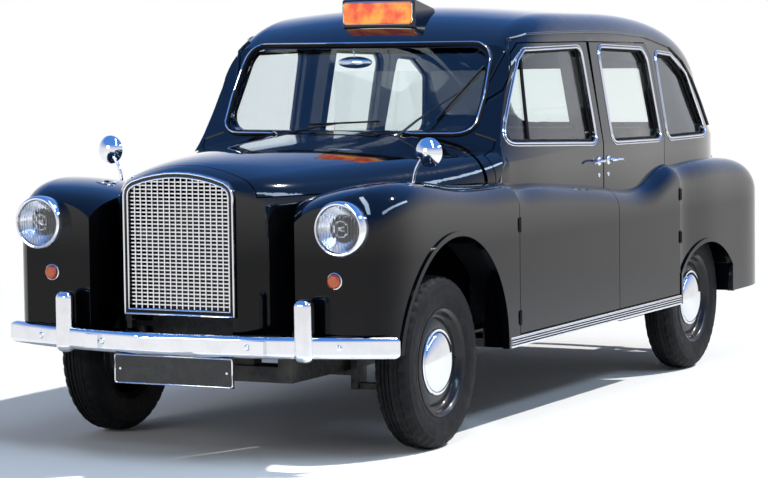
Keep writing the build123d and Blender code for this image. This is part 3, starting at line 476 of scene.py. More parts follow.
for place in groove_places:
    crown = crown_radius - crown_fall * place**2
    tread += [(place + rib_edge, crown), (place + groove_edge, crown)]
    tread.append((place + groove_floor, crown - groove_depth))
half_profile = tyre_side + tread
tyre_profile = half_profile + [(-a, r) for a, r in reversed(half_profile)]
block_steps, block_every = 168, 4
shoulder_first, shoulder_last = 12, 16
shoulder_cut, crown_cut, ribs_above = 0.0055, 0.0045, 0.336


def tread_blocks(i, j, radius):
    """The tyre's radius, cut back at the steps between two blocks."""
    row = min(j, len(tyre_profile) - 1 - j)
    if shoulder_first <= row <= shoulder_last and i % block_every == 0:
        return radius - shoulder_cut
    if row > shoulder_last and i % block_every == block_every // 2 and radius > ribs_above:
        return radius - crown_cut
    return radius


rim_profile = [
    (0.030, 0.0), (0.030, 0.170), (0.018, 0.184), (-0.050, 0.186), (-0.060, 0.2025),
    (-0.066, 0.2100), (-0.063, 0.2125), (-0.0575, 0.2028), (0.0575, 0.2028), (0.063, 0.2125),
    (0.0665, 0.2125), (0.0680, 0.2095), (0.0640, 0.2040), (0.0600, 0.1985), (0.0540, 0.1950),
    (0.0400, 0.1915), (0.0330, 0.1850), (0.0315, 0.1760), (0.0360, 0.1660), (0.0425, 0.1520),
    (0.0435, 0.1380), (0.0420, 0.1240), (0.0420, 0.0),
]
cap_radius, cap_base, cap_height, cap_bulge, cap_steps = 0.1205, 0.0500, 0.0305, 1.15, 14
cap_profile = [(0.0430, 0.1300), (0.0470, 0.1312), (0.0500, 0.1290), (0.0490, 0.1240), (cap_base, cap_radius)]
for i in range(1, cap_steps + 1):
    angle = math.pi / 2 * i / cap_steps
    cap_profile.append((cap_base + cap_height * math.sin(angle) ** cap_bulge, cap_radius * math.cos(angle)))
valve_x, valve_radius = 0.744, 0.178
valve_profile = [(0.0, 0.0), (0.0, 0.0042), (0.008, 0.0036), (0.009, 0.0)]

for name, side, y in wheel_places:
    hub, body = (side * wheel_x, y, wheel_z), f"wheel_{name}"
    rubber = lathe(tyre_profile, hub, way=side, steps=block_steps, shape=tread_blocks)
    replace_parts(piece(f"tyre_{name}_tread", *rubber, "tyre", body), f"tyre_{name}")
    rim = lathe(rim_profile, hub, way=side, steps=72)
    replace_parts(piece(f"rim_{name}", *rim, "wheel_paint", body), f"wheel_{name}")
    piece(f"hubcap_{name}", *lathe(cap_profile, hub, way=side, steps=64), "chrome", body)
    valve = lathe(valve_profile, (side * valve_x, y + valve_radius, wheel_z), way=side, steps=12)
    piece(f"valve_{name}", *valve, "tyre", body)


# Body trim
# Thin bright beads frame each window, and a painted drip moulding runs from the pillar's foot over the doors.
# Each follows an outline, (y, z) on a side and (x, z) on an end, and is laid on the panel that carries it.
side_start, side_reach = 2.0, 1.6
corner_share_of_side = 0.45
end_start, front_reach, back_reach = 3.0, 2.6, 1.9
forward_way, back_way = Vector((0, -1, 0)), Vector((0, 1, 0))


def surface_of(*names):
    points, faces = [], []
    for name in names:
        mesh = nodes[name].data
        start = len(points)
        points += [v.co.copy() for v in mesh.vertices]
        faces += [tuple(start + i for i in polygon.vertices) for polygon in mesh.polygons]
    return BVHTree.FromPolygons(points, faces)


def struck(tree, start, way):
    """The point where a ray first meets a panel."""
    return tree.ray_cast(Vector(start), Vector(way))[0]


def laid(tree, starts, way, lift, reach):
    """Points where rays along way meet a panel no further off than reach, lifted off it."""
    way = Vector(way)
    found = []
    for start in starts:
        hit, normal, _, _ = tree.ray_cast(Vector(start), way, reach)
        if hit is not None:
            found.append(hit + (normal if normal.dot(way) < 0 else -normal) * lift)
    return found


def laid_on_side(tree, line, side, lift):
    return laid(tree, [(side * side_start, p.x, p.y) for p in line], (-side, 0, 0), lift, side_reach)


def laid_on_front(tree, line, lift):
    return laid(tree, [(p.x, -end_start, p.y) for p in line], back_way, lift, front_reach)


def rounded(points, corner, grow=0.0, steps=6):
    """A closed outline with round corners, moved outwards by grow."""
    corners = [Vector(p) for p in points]
    count = len(corners)
    area = sum(a.x * b.y - b.x * a.y for a, b in zip(corners, corners[1:] + corners[:1]))
    turn_way = 1 if area > 0 else -1
    moved = []
    for i, c in enumerate(corners):
        a, b = (c - corners[i - 1]).normalized(), (corners[(i + 1) % count] - c).normalized()
        na, nb = Vector((a.y, -a.x)) * turn_way, Vector((b.y, -b.x)) * turn_way
        moved.append(c + (na + nb) * (grow / (1 + na.dot(nb))))
    line = []
    for i, c in enumerate(moved):
        a, b = (moved[i - 1] - c), (moved[(i + 1) % count] - c)
        longest = min(a.length, b.length) * corner_share_of_side
        reach = max(0.0, min((corner + grow) / math.tan(a.angle(b) / 2), longest))
        if reach == 0:
            line.append(c)
            continue
        start, end = c + a.normalized() * reach, c + b.normalized() * reach
        for k in range(steps + 1):
            t = k / steps
            line.append(start * (1 - t) ** 2 + c * (2 * t * (1 - t)) + end * t**2)
    return line


def spaced(line, step, closed=True):
    """The same line with points no further apart than step."""
    line = [Vector(p) for p in line]
    out = []
    for a, b in zip(line, line[1:] + line[:1] if closed else line[1:]):
        parts = max(1, math.ceil((b - a).length / step))
        out += [a.lerp(b, k / parts) for k in range(parts)]
    return out if closed else out + line[-1:]


window_corner, window_step = 0.042, 0.03
bead_grows_radii, bead_lift = ((0.006, 0.0042), (0.017, 0.0026)), 0.0012
seal_grow, seal_lift, seal_radius = -0.004, 0.003, 0.006
drip_step, drip_lift, drip_radius = 0.04, 0.004, 0.0058
light_bar_step, light_bar_lift, light_bar_radius = 0.05, 0.004, 0.0085
front_window = ((-0.795, 1.172), (-0.562, 1.500), (-0.500, 1.540), (0.062, 1.548), (0.073, 1.140))
rear_window = ((0.270, 1.135), (0.270, 1.548), (0.800, 1.532), (0.852, 1.490), (0.862, 1.125))
quarter_window = ((0.966, 1.125), (0.985, 1.515), (1.190, 1.500), (1.370, 1.410), (1.480, 1.125))
light_bar = ((-0.575, 1.170), (-0.500, 1.535))
gutter = (
    (-0.800, 1.265), (-0.700, 1.398), (-0.610, 1.530), (-0.545, 1.592), (-0.440, 1.612), (-0.20, 1.618),
    (0.15, 1.620), (0.50, 1.614), (0.86, 1.596), (1.02, 1.572), (1.18, 1.545), (1.34, 1.480), (1.46, 1.390),
    (1.545, 1.270), (1.580, 1.160),
)
shell_tree = surface_of("body_shell")
for side, letter in sides:
    windows = (
        ("front", front_window, f"door_f{letter}", f"door_f{letter}", f"door_glass_f{letter}"),
        ("rear", rear_window, f"door_r{letter}", f"door_r{letter}", f"door_glass_r{letter}"),
        ("quarter", quarter_window, "body_shell", "root", "fixed_glass"),
    )
    for title, outline, node, body, glass_node in windows:
        tree = surface_of(node)
        beads = []
        for grow, radius in bead_grows_radii:
            rough = spaced(rounded(outline, window_corner, grow), window_step)
            beads.append(tube(laid_on_side(tree, rough, side, bead_lift), radius, closed=True, sides_round=8))
        piece(f"window_bead_{title}_{letter}", *joined(beads), "chrome", body)
        rough = spaced(rounded(outline, window_corner, seal_grow), window_step)
        line = laid_on_side(surface_of(glass_node), rough, side, seal_lift)
        seal = tube(line, seal_radius, closed=True, sides_round=8)
        piece(f"window_seal_{title}_{letter}", *seal, "tyre", body)
    line = laid_on_side(shell_tree, spaced(gutter, drip_step, closed=False), side, drip_lift)
    piece(f"drip_moulding_{letter}", *tube(line, drip_radius, sides_round=8), "paint", "root")
    rough = spaced(light_bar, light_bar_step, closed=False)
    line = laid_on_side(surface_of(f"door_glass_f{letter}"), rough, side, light_bar_lift)
    piece(f"quarter_light_bar_{letter}", *tube(line, light_bar_radius), "tyre", f"door_f{letter}")

screen_corner, back_grow, back_lift, back_radius = 0.080, 0.010, 0.002, 0.009
screen_outline = ((-0.596, 1.216), (0.596, 1.216), (0.572, 1.561), (-0.572, 1.561))
back_outline = ((-0.400, 1.165), (0.400, 1.165), (0.400, 1.440), (-0.400, 1.440))
screen_lines = (("seal", 0.014, 0.011, 0.002, "tyre"), ("bead", 0.015, 0.0035, 0.0115, "chrome"))
screen_tree = surface_of("body_shell", "windscreen")
for title, grow, radius, lift, slot in screen_lines:
    rough = spaced(rounded(screen_outline, screen_corner, grow), window_step)
    line = laid_on_front(screen_tree, rough, lift)
    piece(f"windscreen_{title}", *tube(line, radius, closed=True), slot, "root")
rough = spaced(rounded(back_outline, screen_corner, back_grow), window_step)
line = laid(shell_tree, [(p.x, end_start, p.y) for p in rough], forward_way, back_lift, back_reach)
piece("back_window_seal", *tube(line, back_radius, closed=True), "tyre", "root")


# Ribbed sill strips, hinges and handles
# The sill strips have four rolled ribs, with dark bars laid in the grooves between them as painted shade.
# The lever handles stand on round roses beside the middle pillar's seam. The boot's handle is a turned
# bar over a rose, above the plate.
strip_low, strip_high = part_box("sill_strips")
strip_end = 0.004
first_rib_z, rib_pitch = 0.3515, 0.0100
rib_count, rib_x, rib_radius = 4, 0.8556, 0.0030
# groove_x and groove_radius place the dark bars of painted shade in the grooves between the ribs.
groove_x, groove_radius = 0.8552, 0.0022
door_handle_places = (("f", 0.100, -1), ("r", 0.205, 1))
door_handle_z, lock_drop, rose_sunk, lock_sunk = 1.052, 0.062, 0.002, 0.003
door_rose = [
    (0.0, 0.0), (0.0, 0.021), (0.005, 0.021), (0.009, 0.017), (0.012, 0.010), (0.030, 0.0085), (0.034, 0.0),
]
lever_line = (
    (0.026, -0.016, -0.002), (0.031, 0.0, 0.0), (0.033, 0.03, 0.002), (0.034, 0.065, 0.002),
    (0.031, 0.098, -0.001), (0.026, 0.120, -0.006),
)
lever_radii = [0.0035, 0.0095, 0.0088, 0.0078, 0.0068, 0.0040]
door_lock = [(0.0, 0.0), (0.0, 0.011), (0.005, 0.0100), (0.007, 0.006), (0.007, 0.0)]


def sill_lines(side, count, x, z, radius, sides_round):
    """Level bars along a sill strip, one above the other."""
    ends = (strip_low.y + strip_end, strip_high.y - strip_end)
    return joined([
        tube([(side * x, y, z + rib_pitch * i) for y in ends], radius, sides_round=sides_round)
        for i in range(count)
    ])


for side, letter in sides:
    ribs = sill_lines(side, rib_count, rib_x, first_rib_z, rib_radius, 10)
    piece(f"sill_ribs_{letter}", *ribs, "chrome", "root")
    # Dark bars in the tyre finish between the ribs: painted shade in the grooves.
    groove_shade = sill_lines(side, rib_count - 1, groove_x, first_rib_z + rib_pitch / 2, groove_radius, 8)
    piece(f"sill_grooves_{letter}", *groove_shade, "tyre", "root")
    for title, y, way in door_handle_places:
        door = f"door_{title}{letter}"
        hit = struck(surface_of(door), (side * side_start, y, door_handle_z), (-side, 0, 0))
        base = Vector((hit.x, y, door_handle_z))
        rose = lathe(door_rose, base - Vector((side * rose_sunk, 0, 0)), way=side, steps=24)
        line = [base + Vector((side * dx, way * dy, dz)) for dx, dy, dz in lever_line]
        lever = tube(line, lever_radii, sides_round=12, flat=0.75)
        lock = lathe(door_lock, base - Vector((side * lock_sunk, 0, lock_drop)), way=side, steps=20)
        piece(f"door_handle_{title}{letter}", *joined([rose, lever, lock]), "chrome", door)

boot_handle_z, boot_rose_sunk, grip_stand = 0.80, 0.003, 0.030
boot_rose = [(0.0, 0.0), (0.0, 0.024), (0.006, 0.022), (0.010, 0.012), (0.030, 0.009), (0.032, 0.0)]
grip_places, grip_radii = (-0.066, -0.060, 0.0, 0.060, 0.066), [0.005, 0.0095, 0.0115, 0.0095, 0.005]
hit = struck(surface_of("boot_lid"), (0, end_start, boot_handle_z), forward_way)
rose = lathe(boot_rose, hit - Vector((0, boot_rose_sunk, 0)), axis="Y", steps=24)
grip = tube([hit + Vector((x, grip_stand, 0)) for x in grip_places], grip_radii, sides_round=12)
piece("boot_handle", *joined([rose, grip]), "chrome", "boot_lid")

hinge_x, hinge_y, hinge_z = 0.300, 1.952, 1.068
barrel_half, barrel_radius = 0.034, 0.0095
hinge_leaf, hinge_leaf_radii = ((0.0, 0.004), (-0.030, 0.030), (-0.060, 0.052)), [0.016, 0.016, 0.010]
for side, letter in sides:
    x = side * hinge_x
    ends = [(x - barrel_half, hinge_y, hinge_z), (x + barrel_half, hinge_y, hinge_z)]
    barrel = tube(ends, barrel_radius, sides_round=16)
    line = [(x, hinge_y + dy, hinge_z + dz) for dy, dz in hinge_leaf]
    leaf = tube(line, hinge_leaf_radii, sides_round=12, flat=0.30)
    piece(f"boot_hinge_{letter}", *joined([barrel, leaf]), "paint", "root")


# Nose, lamps and indicators
# Ridges of bright bead edge the grille's black surround. The lamps are bright bowls with a fluted glass
# in front, and the indicators stand on bright rings on the wings. Tail lamps have bright rims.
surround_face = -2.2125
surround_side = (
    (0.245, 0.560), (0.245, 1.018), (0.241, 1.040), (0.229, 1.059), (0.206, 1.075), (0.156, 1.091),
    (0.104, 1.102), (0.052, 1.109),
)
surround_top = (0.0, 1.111)
grille_line = [*surround_side, surround_top, *[(-x, z) for x, z in reversed(surround_side)]]
ridge_step, ridge_grows_radii = 0.05, ((-0.0050, 0.0042), (-0.0225, 0.0036))
ridges = []
for grow, radius in ridge_grows_radii:
    line = [(p.x, surround_face, p.y) for p in spaced(rounded(grille_line, 0.0, grow), ridge_step)]
    ridges.append(tube(line, radius, closed=True, sides_round=8, lean=rearward))
piece("grille_ridges", *joined(ridges), "chrome", "root")

lamp_x, lamp_z, lamp_front = 0.665, 0.901, -2.168
lamp_rim = [
    (-0.046, 0.1035), (-0.020, 0.1050), (-0.004, 0.1045), (0.005, 0.1010),
    (0.009, 0.0960), (0.008, 0.0915), (0.002, 0.0885), (-0.006, 0.0870),
]
bowl_radius, bowl_edge, bowl_depth, bowl_steps = 0.0865, -0.006, 0.060, 10
lamp_bowl = []
for i in range(bowl_steps + 1):
    share = 1 - i / bowl_steps
    lamp_bowl.append((bowl_edge - bowl_depth * (1 - share**2), bowl_radius * share))
bulb_ring_radius, bulb_ring_wire, bulb_ring_back, bulb_ring_steps = 0.030, 0.0012, 0.018, 24
bulb_profile = [
    (-0.050, 0.010), (-0.036, 0.010), (-0.032, 0.013), (-0.020, 0.012), (-0.012, 0.006), (-0.010, 0.0),
]
glass_rings, glass_spokes, glass_radius, glass_dome, glass_wall = 22, 44, 0.0868, 0.0115, 0.0035
glass_lift, flute_depth, flute_pitch, flute_fade = 0.0005, 0.0011, 0.0145, 6


def fluted_glass(centre):
    """A domed round glass with upright flutes on both its faces."""
    points, faces = [], []
    for i in range(glass_rings + 1):
        share = i / glass_rings
        for k in range(glass_spokes):
            angle = 2 * math.pi * k / glass_spokes
            x, z = glass_radius * share * math.cos(angle), glass_radius * share * math.sin(angle)
            flute = flute_depth * math.cos(2 * math.pi * x / flute_pitch) * min(1.0, flute_fade * (1 - share))
            points.append(centre + Vector((x, -glass_lift - glass_dome * (1 - share**2) - flute, z)))
    back = [p + Vector((0, glass_wall, 0)) for p in points]
    shift, edge = len(points), glass_rings * glass_spokes
    for i in range(glass_rings):
        here, there = i * glass_spokes, (i + 1) * glass_spokes
        for k in range(glass_spokes):
            following = (k + 1) % glass_spokes
            a, b, c, d = here + k, here + following, there + following, there + k
            faces += [(a, d, c, b), (shift + a, shift + b, shift + c, shift + d)]
    for k in range(glass_spokes):
        a, b = edge + k, edge + (k + 1) % glass_spokes
        faces.append((a, a + shift, b + shift, b))
    return points + back, faces


for side, letter in sides:
    centre = Vector((side * lamp_x, lamp_front, lamp_z))
    bowl = lathe(lamp_rim + lamp_bowl, centre, axis="Y", way=-1, steps=64)
    ring_line = []
    for i in range(bulb_ring_steps):
        angle = 2 * math.pi * i / bulb_ring_steps
        out = Vector((bulb_ring_radius * math.cos(angle), bulb_ring_back, bulb_ring_radius * math.sin(angle)))
        ring_line.append(centre + out)
    ring = tube(ring_line, bulb_ring_wire, closed=True, sides_round=6, lean=rearward)
    bezel_piece = piece(f"headlamp_{letter}", *joined([bowl, ring]), "chrome", "root")
    bulb = lathe(bulb_profile, centre, axis="Y", way=-1, steps=20)
    piece(f"headlamp_bulb_{letter}", *bulb, "lamp_glass", "root")
    glass_piece = piece(f"headlamp_glass_{letter}", *fluted_glass(centre), "lamp_glass", "root")
    if letter == "l":
        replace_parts(bezel_piece, "headlamps")
        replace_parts(glass_piece, "headlamp_lenses")

indicator_x, indicator_z = 0.627, 0.705
indicator_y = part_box("indicators")[1].y
tail_x, tail_y, tail_heights = 0.712, 2.1175, (0.640, 0.732)
indicator_ring = [
    (-0.006, 0.0), (-0.006, 0.0330), (0.002, 0.0335), (0.007, 0.0315),
    (0.0085, 0.0285), (0.0060, 0.0268), (0.0, 0.0266),
]
tail_ring = [
    (-0.004, 0.0), (-0.004, 0.0375), (0.004, 0.0385), (0.010, 0.0365),
    (0.0115, 0.0335), (0.0095, 0.0318), (0.004, 0.0316),
]
for side, letter in sides:
    ring = lathe(indicator_ring, (side * indicator_x, indicator_y, indicator_z), axis="Y", way=-1, steps=40)
    piece(f"indicator_ring_{letter}", *ring, "chrome", "root")
    rings = [lathe(tail_ring, (side * tail_x, tail_y, z), axis="Y", steps=40) for z in tail_heights]
    piece(f"tail_lamp_rings_{letter}", *joined(rings), "chrome", "root")


# Bumpers, plates and sign
# Round-headed bolts hold the bumper blades. The plates are black with a bright rim and carry nothing.
# The roof sign's amber lens is blank and lit from behind, in a thin bright frame.
bumper_bolt_z = 0.458
bolt_profile = [
    (-0.004, 0.0), (-0.004, 0.0130), (0.0, 0.0130), (0.003, 0.0122), (0.0060, 0.0090), (0.0075, 0.0),
]
bolt_places = (("front", -1, (-0.32, 0.32, -0.66, 0.66)), ("rear", 1, (-0.32, 0.32, -0.60, 0.60)))
for title, way, places in bolt_places:
    starts = [(x, way * end_start, bumper_bolt_z) for x in places]
    hits = laid(surface_of(f"{title}_bumper"), starts, (0, -way, 0), 0.0, end_start)
    bolts = [lathe(bolt_profile, hit, axis="Y", way=way, steps=20) for hit in hits]
    piece(f"{title}_bumper_bolts", *joined(bolts), "chrome", "root")

rim_half, rim_inset, rim_corner, rim_step, rim_lift, rim_wire = 0.2585, 0.0035, 0.010, 0.05, 0.0006, 0.0028
screw_x, screw_profile = 0.235, [(-0.001, 0.0), (-0.001, 0.0055), (0.0015, 0.0048), (0.0022, 0.0)]
for title, y, low, high, body, way in (
    ("front", -2.2656, 0.300, 0.414, "root", -1),
    ("rear", 2.166, 0.643, 0.757, "boot_lid", 1),
):
    bottom, top = low + rim_inset, high - rim_inset
    outline = ((-rim_half, bottom), (rim_half, bottom), (rim_half, top), (-rim_half, top))
    line = [(p.x, y + way * rim_lift, p.y) for p in spaced(rounded(outline, rim_corner), rim_step)]
    parts = [tube(line, rim_wire, closed=True, sides_round=8)]
    for x in (-screw_x, screw_x):
        parts.append(lathe(screw_profile, (x, y, (low + high) / 2), axis="Y", way=way, steps=14))
    piece(f"{title}_plate_rim", *joined(parts), "chrome", body)

lens_half, lens_low, lens_high = 0.162, 1.668, 1.755
frame_corner, frame_grow, frame_step, frame_lift, frame_wire = 0.012, 0.003, 0.04, 0.0012, 0.0030
outline = ((-lens_half, lens_low), (lens_half, lens_low), (lens_half, lens_high), (-lens_half, lens_high))
rough = spaced(rounded(outline, frame_corner, frame_grow), frame_step)
line = laid_on_front(surface_of("roof_sign", "sign_lens"), rough, frame_lift)
piece("sign_frame", *tube(line, frame_wire, closed=True, sides_round=8), "chrome", "root")


# Wipers and mirrors
# Two wipers stand on spindles on the scuttle; each blade is a rubber edge in a dark holder with a sprung arm.
# The inside mirror hangs from the top of the windscreen.
glass_tree = surface_of("windscreen")
spindle_profile = [
    (-0.006, 0.0), (-0.006, 0.014), (0.004, 0.013), (0.010, 0.009), (0.030, 0.008), (0.033, 0.0),
]
blade_lift, blade_steps, blade_radius = 0.006, 10, 0.0040
holder_off, holder_radius = Vector((0, -0.007, 0.002)), 0.0036
arm_start, arm_radii = Vector((0, -0.026, 0)), [0.0060, 0.0052, 0.0034, 0.0030]
arm_bends = ((0.35, Vector((0, -0.012, 0.004))), (0.7, Vector((0, -0.006, 0.003))))
for letter, pivot, blade_start, blade_end in (
    ("r", (-0.271, 1.196), (-0.175, 1.238), (0.159, 1.252)),
    ("l", (0.293, 1.196), (0.413, 1.262), (0.560, 1.480)),
):
    hit = struck(screen_tree, (pivot[0], -end_start, pivot[1]), back_way)
    spindle = lathe(spindle_profile, hit, axis="Y", way=-1, steps=20)
    rough = [Vector(blade_start).lerp(Vector(blade_end), i / blade_steps) for i in range(blade_steps + 1)]
    blade = laid_on_front(glass_tree, rough, blade_lift)
    holder = [p + holder_off for p in blade]
    first, middle = hit + arm_start, holder[len(holder) // 2]
    arm_line = [first, *[first.lerp(middle, share) + off for share, off in arm_bends], middle]
    arm = tube(arm_line, arm_radii, sides_round=8)
    parts = [spindle, arm, tube(holder, holder_radius, sides_round=8, flat=0.7)]
    piece(f"wiper_rubber_{letter}", *tube(blade, blade_radius, sides_round=6), "tyre", "root")
    piece(f"wiper_{letter}", *joined(parts), "plate_black", "root")

mirror_place, mirror_half = Vector((-0.07, -0.588, 1.500)), Vector((0.082, 1.0, 0.026))
mirror_profile = [
    (0.0, 0.0), (0.0, 0.92), (0.004, 1.0), (0.012, 0.96), (0.020, 0.70), (0.024, 0.30), (0.025, 0.0),
]
stem_line, stem_radius = [(-0.07, -0.600, 1.520), (-0.07, -0.604, 1.545), (-0.07, -0.598, 1.580)], 0.005
mirror_points, mirror_faces = lathe(mirror_profile, (0, 0, 0), axis="Y", way=-1, steps=40)
mirror_points = [mirror_place + p * mirror_half for p in mirror_points]
stem = tube(stem_line, stem_radius, sides_round=8)
piece("inside_mirror", *joined([(mirror_points, mirror_faces), stem]), "chrome", "root")


# Seats and cabin
# Maroon hide cushions and backs, stuffed and pleated lengthways, on plain plinths. The tip-up seats hang
# from the partition. The dashboard has three blank round dials in bright rims.
pillow_steps, pillow_low_steps, steps_per_pleat = 12, 8, 6
crown_height, pleat_depth, pleat_power = 0.010, 0.011, 0.6
face_from, side_fade, end_fade = 0.2, 5, 4


def pillow(low, high, pleats=0, lean=0.0, faces_up=True, corner_share=0.36):
    """A block with round edges. Pleats run along the face that looks up or forwards.

    lean moves its top back.
    """
    size = Vector(high) - Vector(low)
    middle = (Vector(high) + Vector(low)) / 2
    upright_steps = pillow_low_steps if faces_up else pillow_steps
    counts = (max(pillow_steps, pleats * steps_per_pleat), pillow_steps, upright_steps)
    corner = corner_share * min(size.y, size.z)
    points, faces, index = [], [], {}

    def stuffing(p):
        """How far the face stands out at p, with each of its places from -1 to 1."""
        other = p.y if faces_up else p.z
        crown = crown_height * (1 - p.x**2) * (1 - other**2)
        pleat = abs(math.sin(math.pi * pleats * (p.x + 1) / 2)) ** pleat_power - 1
        fade = min(1.0, side_fade * (1 - p.x**2)) * min(1.0, end_fade * (1 - other**2))
        return crown + pleat_depth * pleat * fade - crown_height

    def vertex(*key):
        if key not in index:
            index[key] = len(points)
            p = Vector([2 * key[a] / counts[a] - 1 for a in range(3)])
            q = Vector([p[a] * size[a] / 2 for a in range(3)])
            inner = Vector([max(corner - size[a] / 2, min(size[a] / 2 - corner, q[a])) for a in range(3)])
            out = q - inner
            if out.length > 0:
                q = inner + out.normalized() * max(abs(out.x), abs(out.y), abs(out.z))
            if pleats and faces_up and p.z > face_from:
                q.z += stuffing(p)
            if pleats and not faces_up and p.y < -face_from:
                q.y -= stuffing(p)
            q.y += lean * (p.z + 1) / 2
            points.append(middle + q)
        return index[key]

    for a, b, c in ((0, 1, 2), (1, 2, 0), (2, 0, 1)):
        for i, j, end in itertools.product(range(counts[a]), range(counts[b]), (0, counts[c])):
            keys = []
            for di, dj in ((0, 0), (1, 0), (1, 1), (0, 1)):
                key = [0, 0, 0]
                key[a], key[b], key[c] = i + di, j + dj, end
                keys.append(vertex(*key))
            faces.append(tuple(keys) if end else tuple(reversed(keys)))
    return points, faces


def cushion(name, low, high, pleats, body, fill=0.6, **form):
    made = piece(name, *pillow(low, high, pleats, **form), "leather", body)
    return made


plinth_inset, plinth_back, plinth_top, plinth_corner = 0.03, 0.05, 0.655, 0.06
cushion_low = 0.650
# For each seat: the plinth's side inset, the pleats, the cushion's rear inset and top, and the back's front
# and rear insets, foot and lean.
seat_forms = (
    ("driver", plinth_inset, 7, 0.075, 0.790, 0.150, 0.040, 0.740, 0.035),
    ("rear", 0.0, 14, 0.120, 0.800, 0.200, 0.050, 0.760, 0.050),
)
for title, side_inset, pleats, inset, cushion_top, back_front, back_rear, back_foot, lean in seat_forms:
    low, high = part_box(f"{title}_seat")
    corner = (low.x + side_inset, low.y + plinth_inset, low.z)
    box = pillow(corner, (high.x - side_inset, high.y - plinth_back, plinth_top), corner_share=plinth_corner)
    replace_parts(piece(f"{title}_plinth", *box, "trim", "root"), f"{title}_seat")
    front, rear = (low.x, low.y, cushion_low), (high.x, high.y - inset, cushion_top)
    cushion(f"{title}_cushion", front, rear, pleats, "root")
    front, rear = (low.x, high.y - back_front, back_foot), (high.x, high.y - back_rear, high.z)
    cushion(f"{title}_back", front, rear, pleats, "root", faces_up=False, lean=lean)

tip_up_near, tip_up_far = 0.13, 0.53
tip_up_off, tip_up_below = 0.006, 0.02
hinge_inset, hinge_off, hinge_up, hinge_radius = 0.02, 0.015, 0.012, 0.008
low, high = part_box("tip_up_seats")
for side, letter in sides:
    x0, x1 = sorted((side * tip_up_near, side * tip_up_far))
    corner = (x0, low.y + tip_up_off, low.z)
    other = (x1, high.y, high.z - tip_up_below)
    pad = cushion(f"tip_up_pad_{letter}", corner, other, 5, "root", faces_up=False)
    line = [(x, low.y + hinge_off, low.z + hinge_up) for x in (x0 + hinge_inset, x1 - hinge_inset)]
    piece(f"tip_up_hinge_{letter}", *tube(line, hinge_radius, sides_round=12), "steel", "root")
    if letter == "l":
        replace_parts(pad, "tip_up_seats")

dash_tree = surface_of("dashboard")
dash_start = 0.2
dial_places = ((-0.350, 1.085, 0.052), (-0.215, 1.080, 0.038), (-0.480, 1.080, 0.038))
dial_shape = (
    (-0.004, 0.0), (-0.004, 1.0), (0.006, 1.0), (0.010, 0.95), (0.010, 0.88), (0.002, 0.84), (0.002, 0.0),
)
for i, (x, z, radius) in enumerate(dial_places):
    hit = struck(dash_tree, (x, dash_start, z), forward_way)
    if hit is not None:
        dial = lathe([(along, radius * share) for along, share in dial_shape], hit, axis="Y", steps=40)
        piece(f"dial_{i}", *dial, "chrome", "root")


# Studio
# Pale floor and white surroundings, with the sun high on the cab's left rear quarter and a soft fill in
# front. The camera stands where the photograph was taken, low and in front of the cab's left wing.
image_width = 768
camera_place = (5.397, -11.162, 1.614)
camera_yaw = math.radians(-26.8)
camera_pitch = math.radians(-4.22)
camera_roll = math.radians(-0.71)
camera_focal_px, camera_sensor, camera_far = 2752.0, 36.0, 200.0

forward = Vector((
    math.sin(camera_yaw) * math.cos(camera_pitch),
    math.cos(camera_yaw) * math.cos(camera_pitch),
    math.sin(camera_pitch),
))
turn = forward.to_track_quat("-Z", "Y").to_matrix() @ Matrix.Rotation(camera_roll, 3, "Z")
camera_data = bpy.data.cameras.new("camera")
camera_data.sensor_width = camera_sensor
camera_data.lens = camera_focal_px / image_width * camera_sensor
camera_data.clip_end = camera_far
camera = bpy.data.objects.new("camera", camera_data)
camera.matrix_world = Matrix.Translation(camera_place) @ turn.to_4x4()
bpy.context.scene.collection.objects.link(camera)
bpy.context.scene.camera = camera


def seen_rays(tree):
    """1 for rays of the camera and for those that metal and glass send on, else 0."""
    rays = tree.nodes.new("ShaderNodeLightPath")
    total = rays.outputs["Is Camera Ray"]
    for name in ("Is Glossy Ray", "Is Transmission Ray"):
        larger = tree.nodes.new("ShaderNodeMath")
        larger.operation = "MAXIMUM"
        tree.links.new(total, larger.inputs[0])
        tree.links.new(rays.outputs[name], larger.inputs[1])
        total = larger.outputs[0]
    return total


floor_half = 60.0
white_from, white_full = 3.6, 7.5
floor_mesh = bpy.data.meshes.new("floor")
corners = [(a * floor_half, b * floor_half, 0) for a, b in ((-1, -1), (1, -1), (1, 1), (-1, 1))]
floor_mesh.from_pydata(corners, [], [(0, 1, 2, 3)])
floor = bpy.data.objects.new("floor", floor_mesh)
bpy.context.scene.collection.objects.link(floor)
floor_finish = Finish("studio_floor", base_color=(0.92, 0.92, 0.92), roughness=0.8)
floor_mesh.materials.append(floor_finish.material)
far_white = floor_finish.node("Emission", inputs={"Color": (1.0, 1.0, 1.0), "Strength": 1.0})
radius_out = floor_finish.node("VectorMath", {"operation": "LENGTH"}, {0: floor_finish.place()}, output=1)
whiteness = floor_finish.range(radius_out, white_from, white_full, 0.0, 1.0)
fade = whiteness * Value(floor_finish, seen_rays(floor_finish.tree))
floor_mix = floor_finish.node("MixShader", inputs={0: fade})
floor_finish.tree.links.new(floor_finish.shader.outputs[0], floor_mix.socket.node.inputs[1])
floor_finish.tree.links.new(far_white.socket, floor_mix.socket.node.inputs[2])
floor_out = next(n for n in floor_finish.tree.nodes if n.type == "OUTPUT_MATERIAL")
floor_finish.tree.links.new(floor_mix.socket, floor_out.inputs["Surface"])

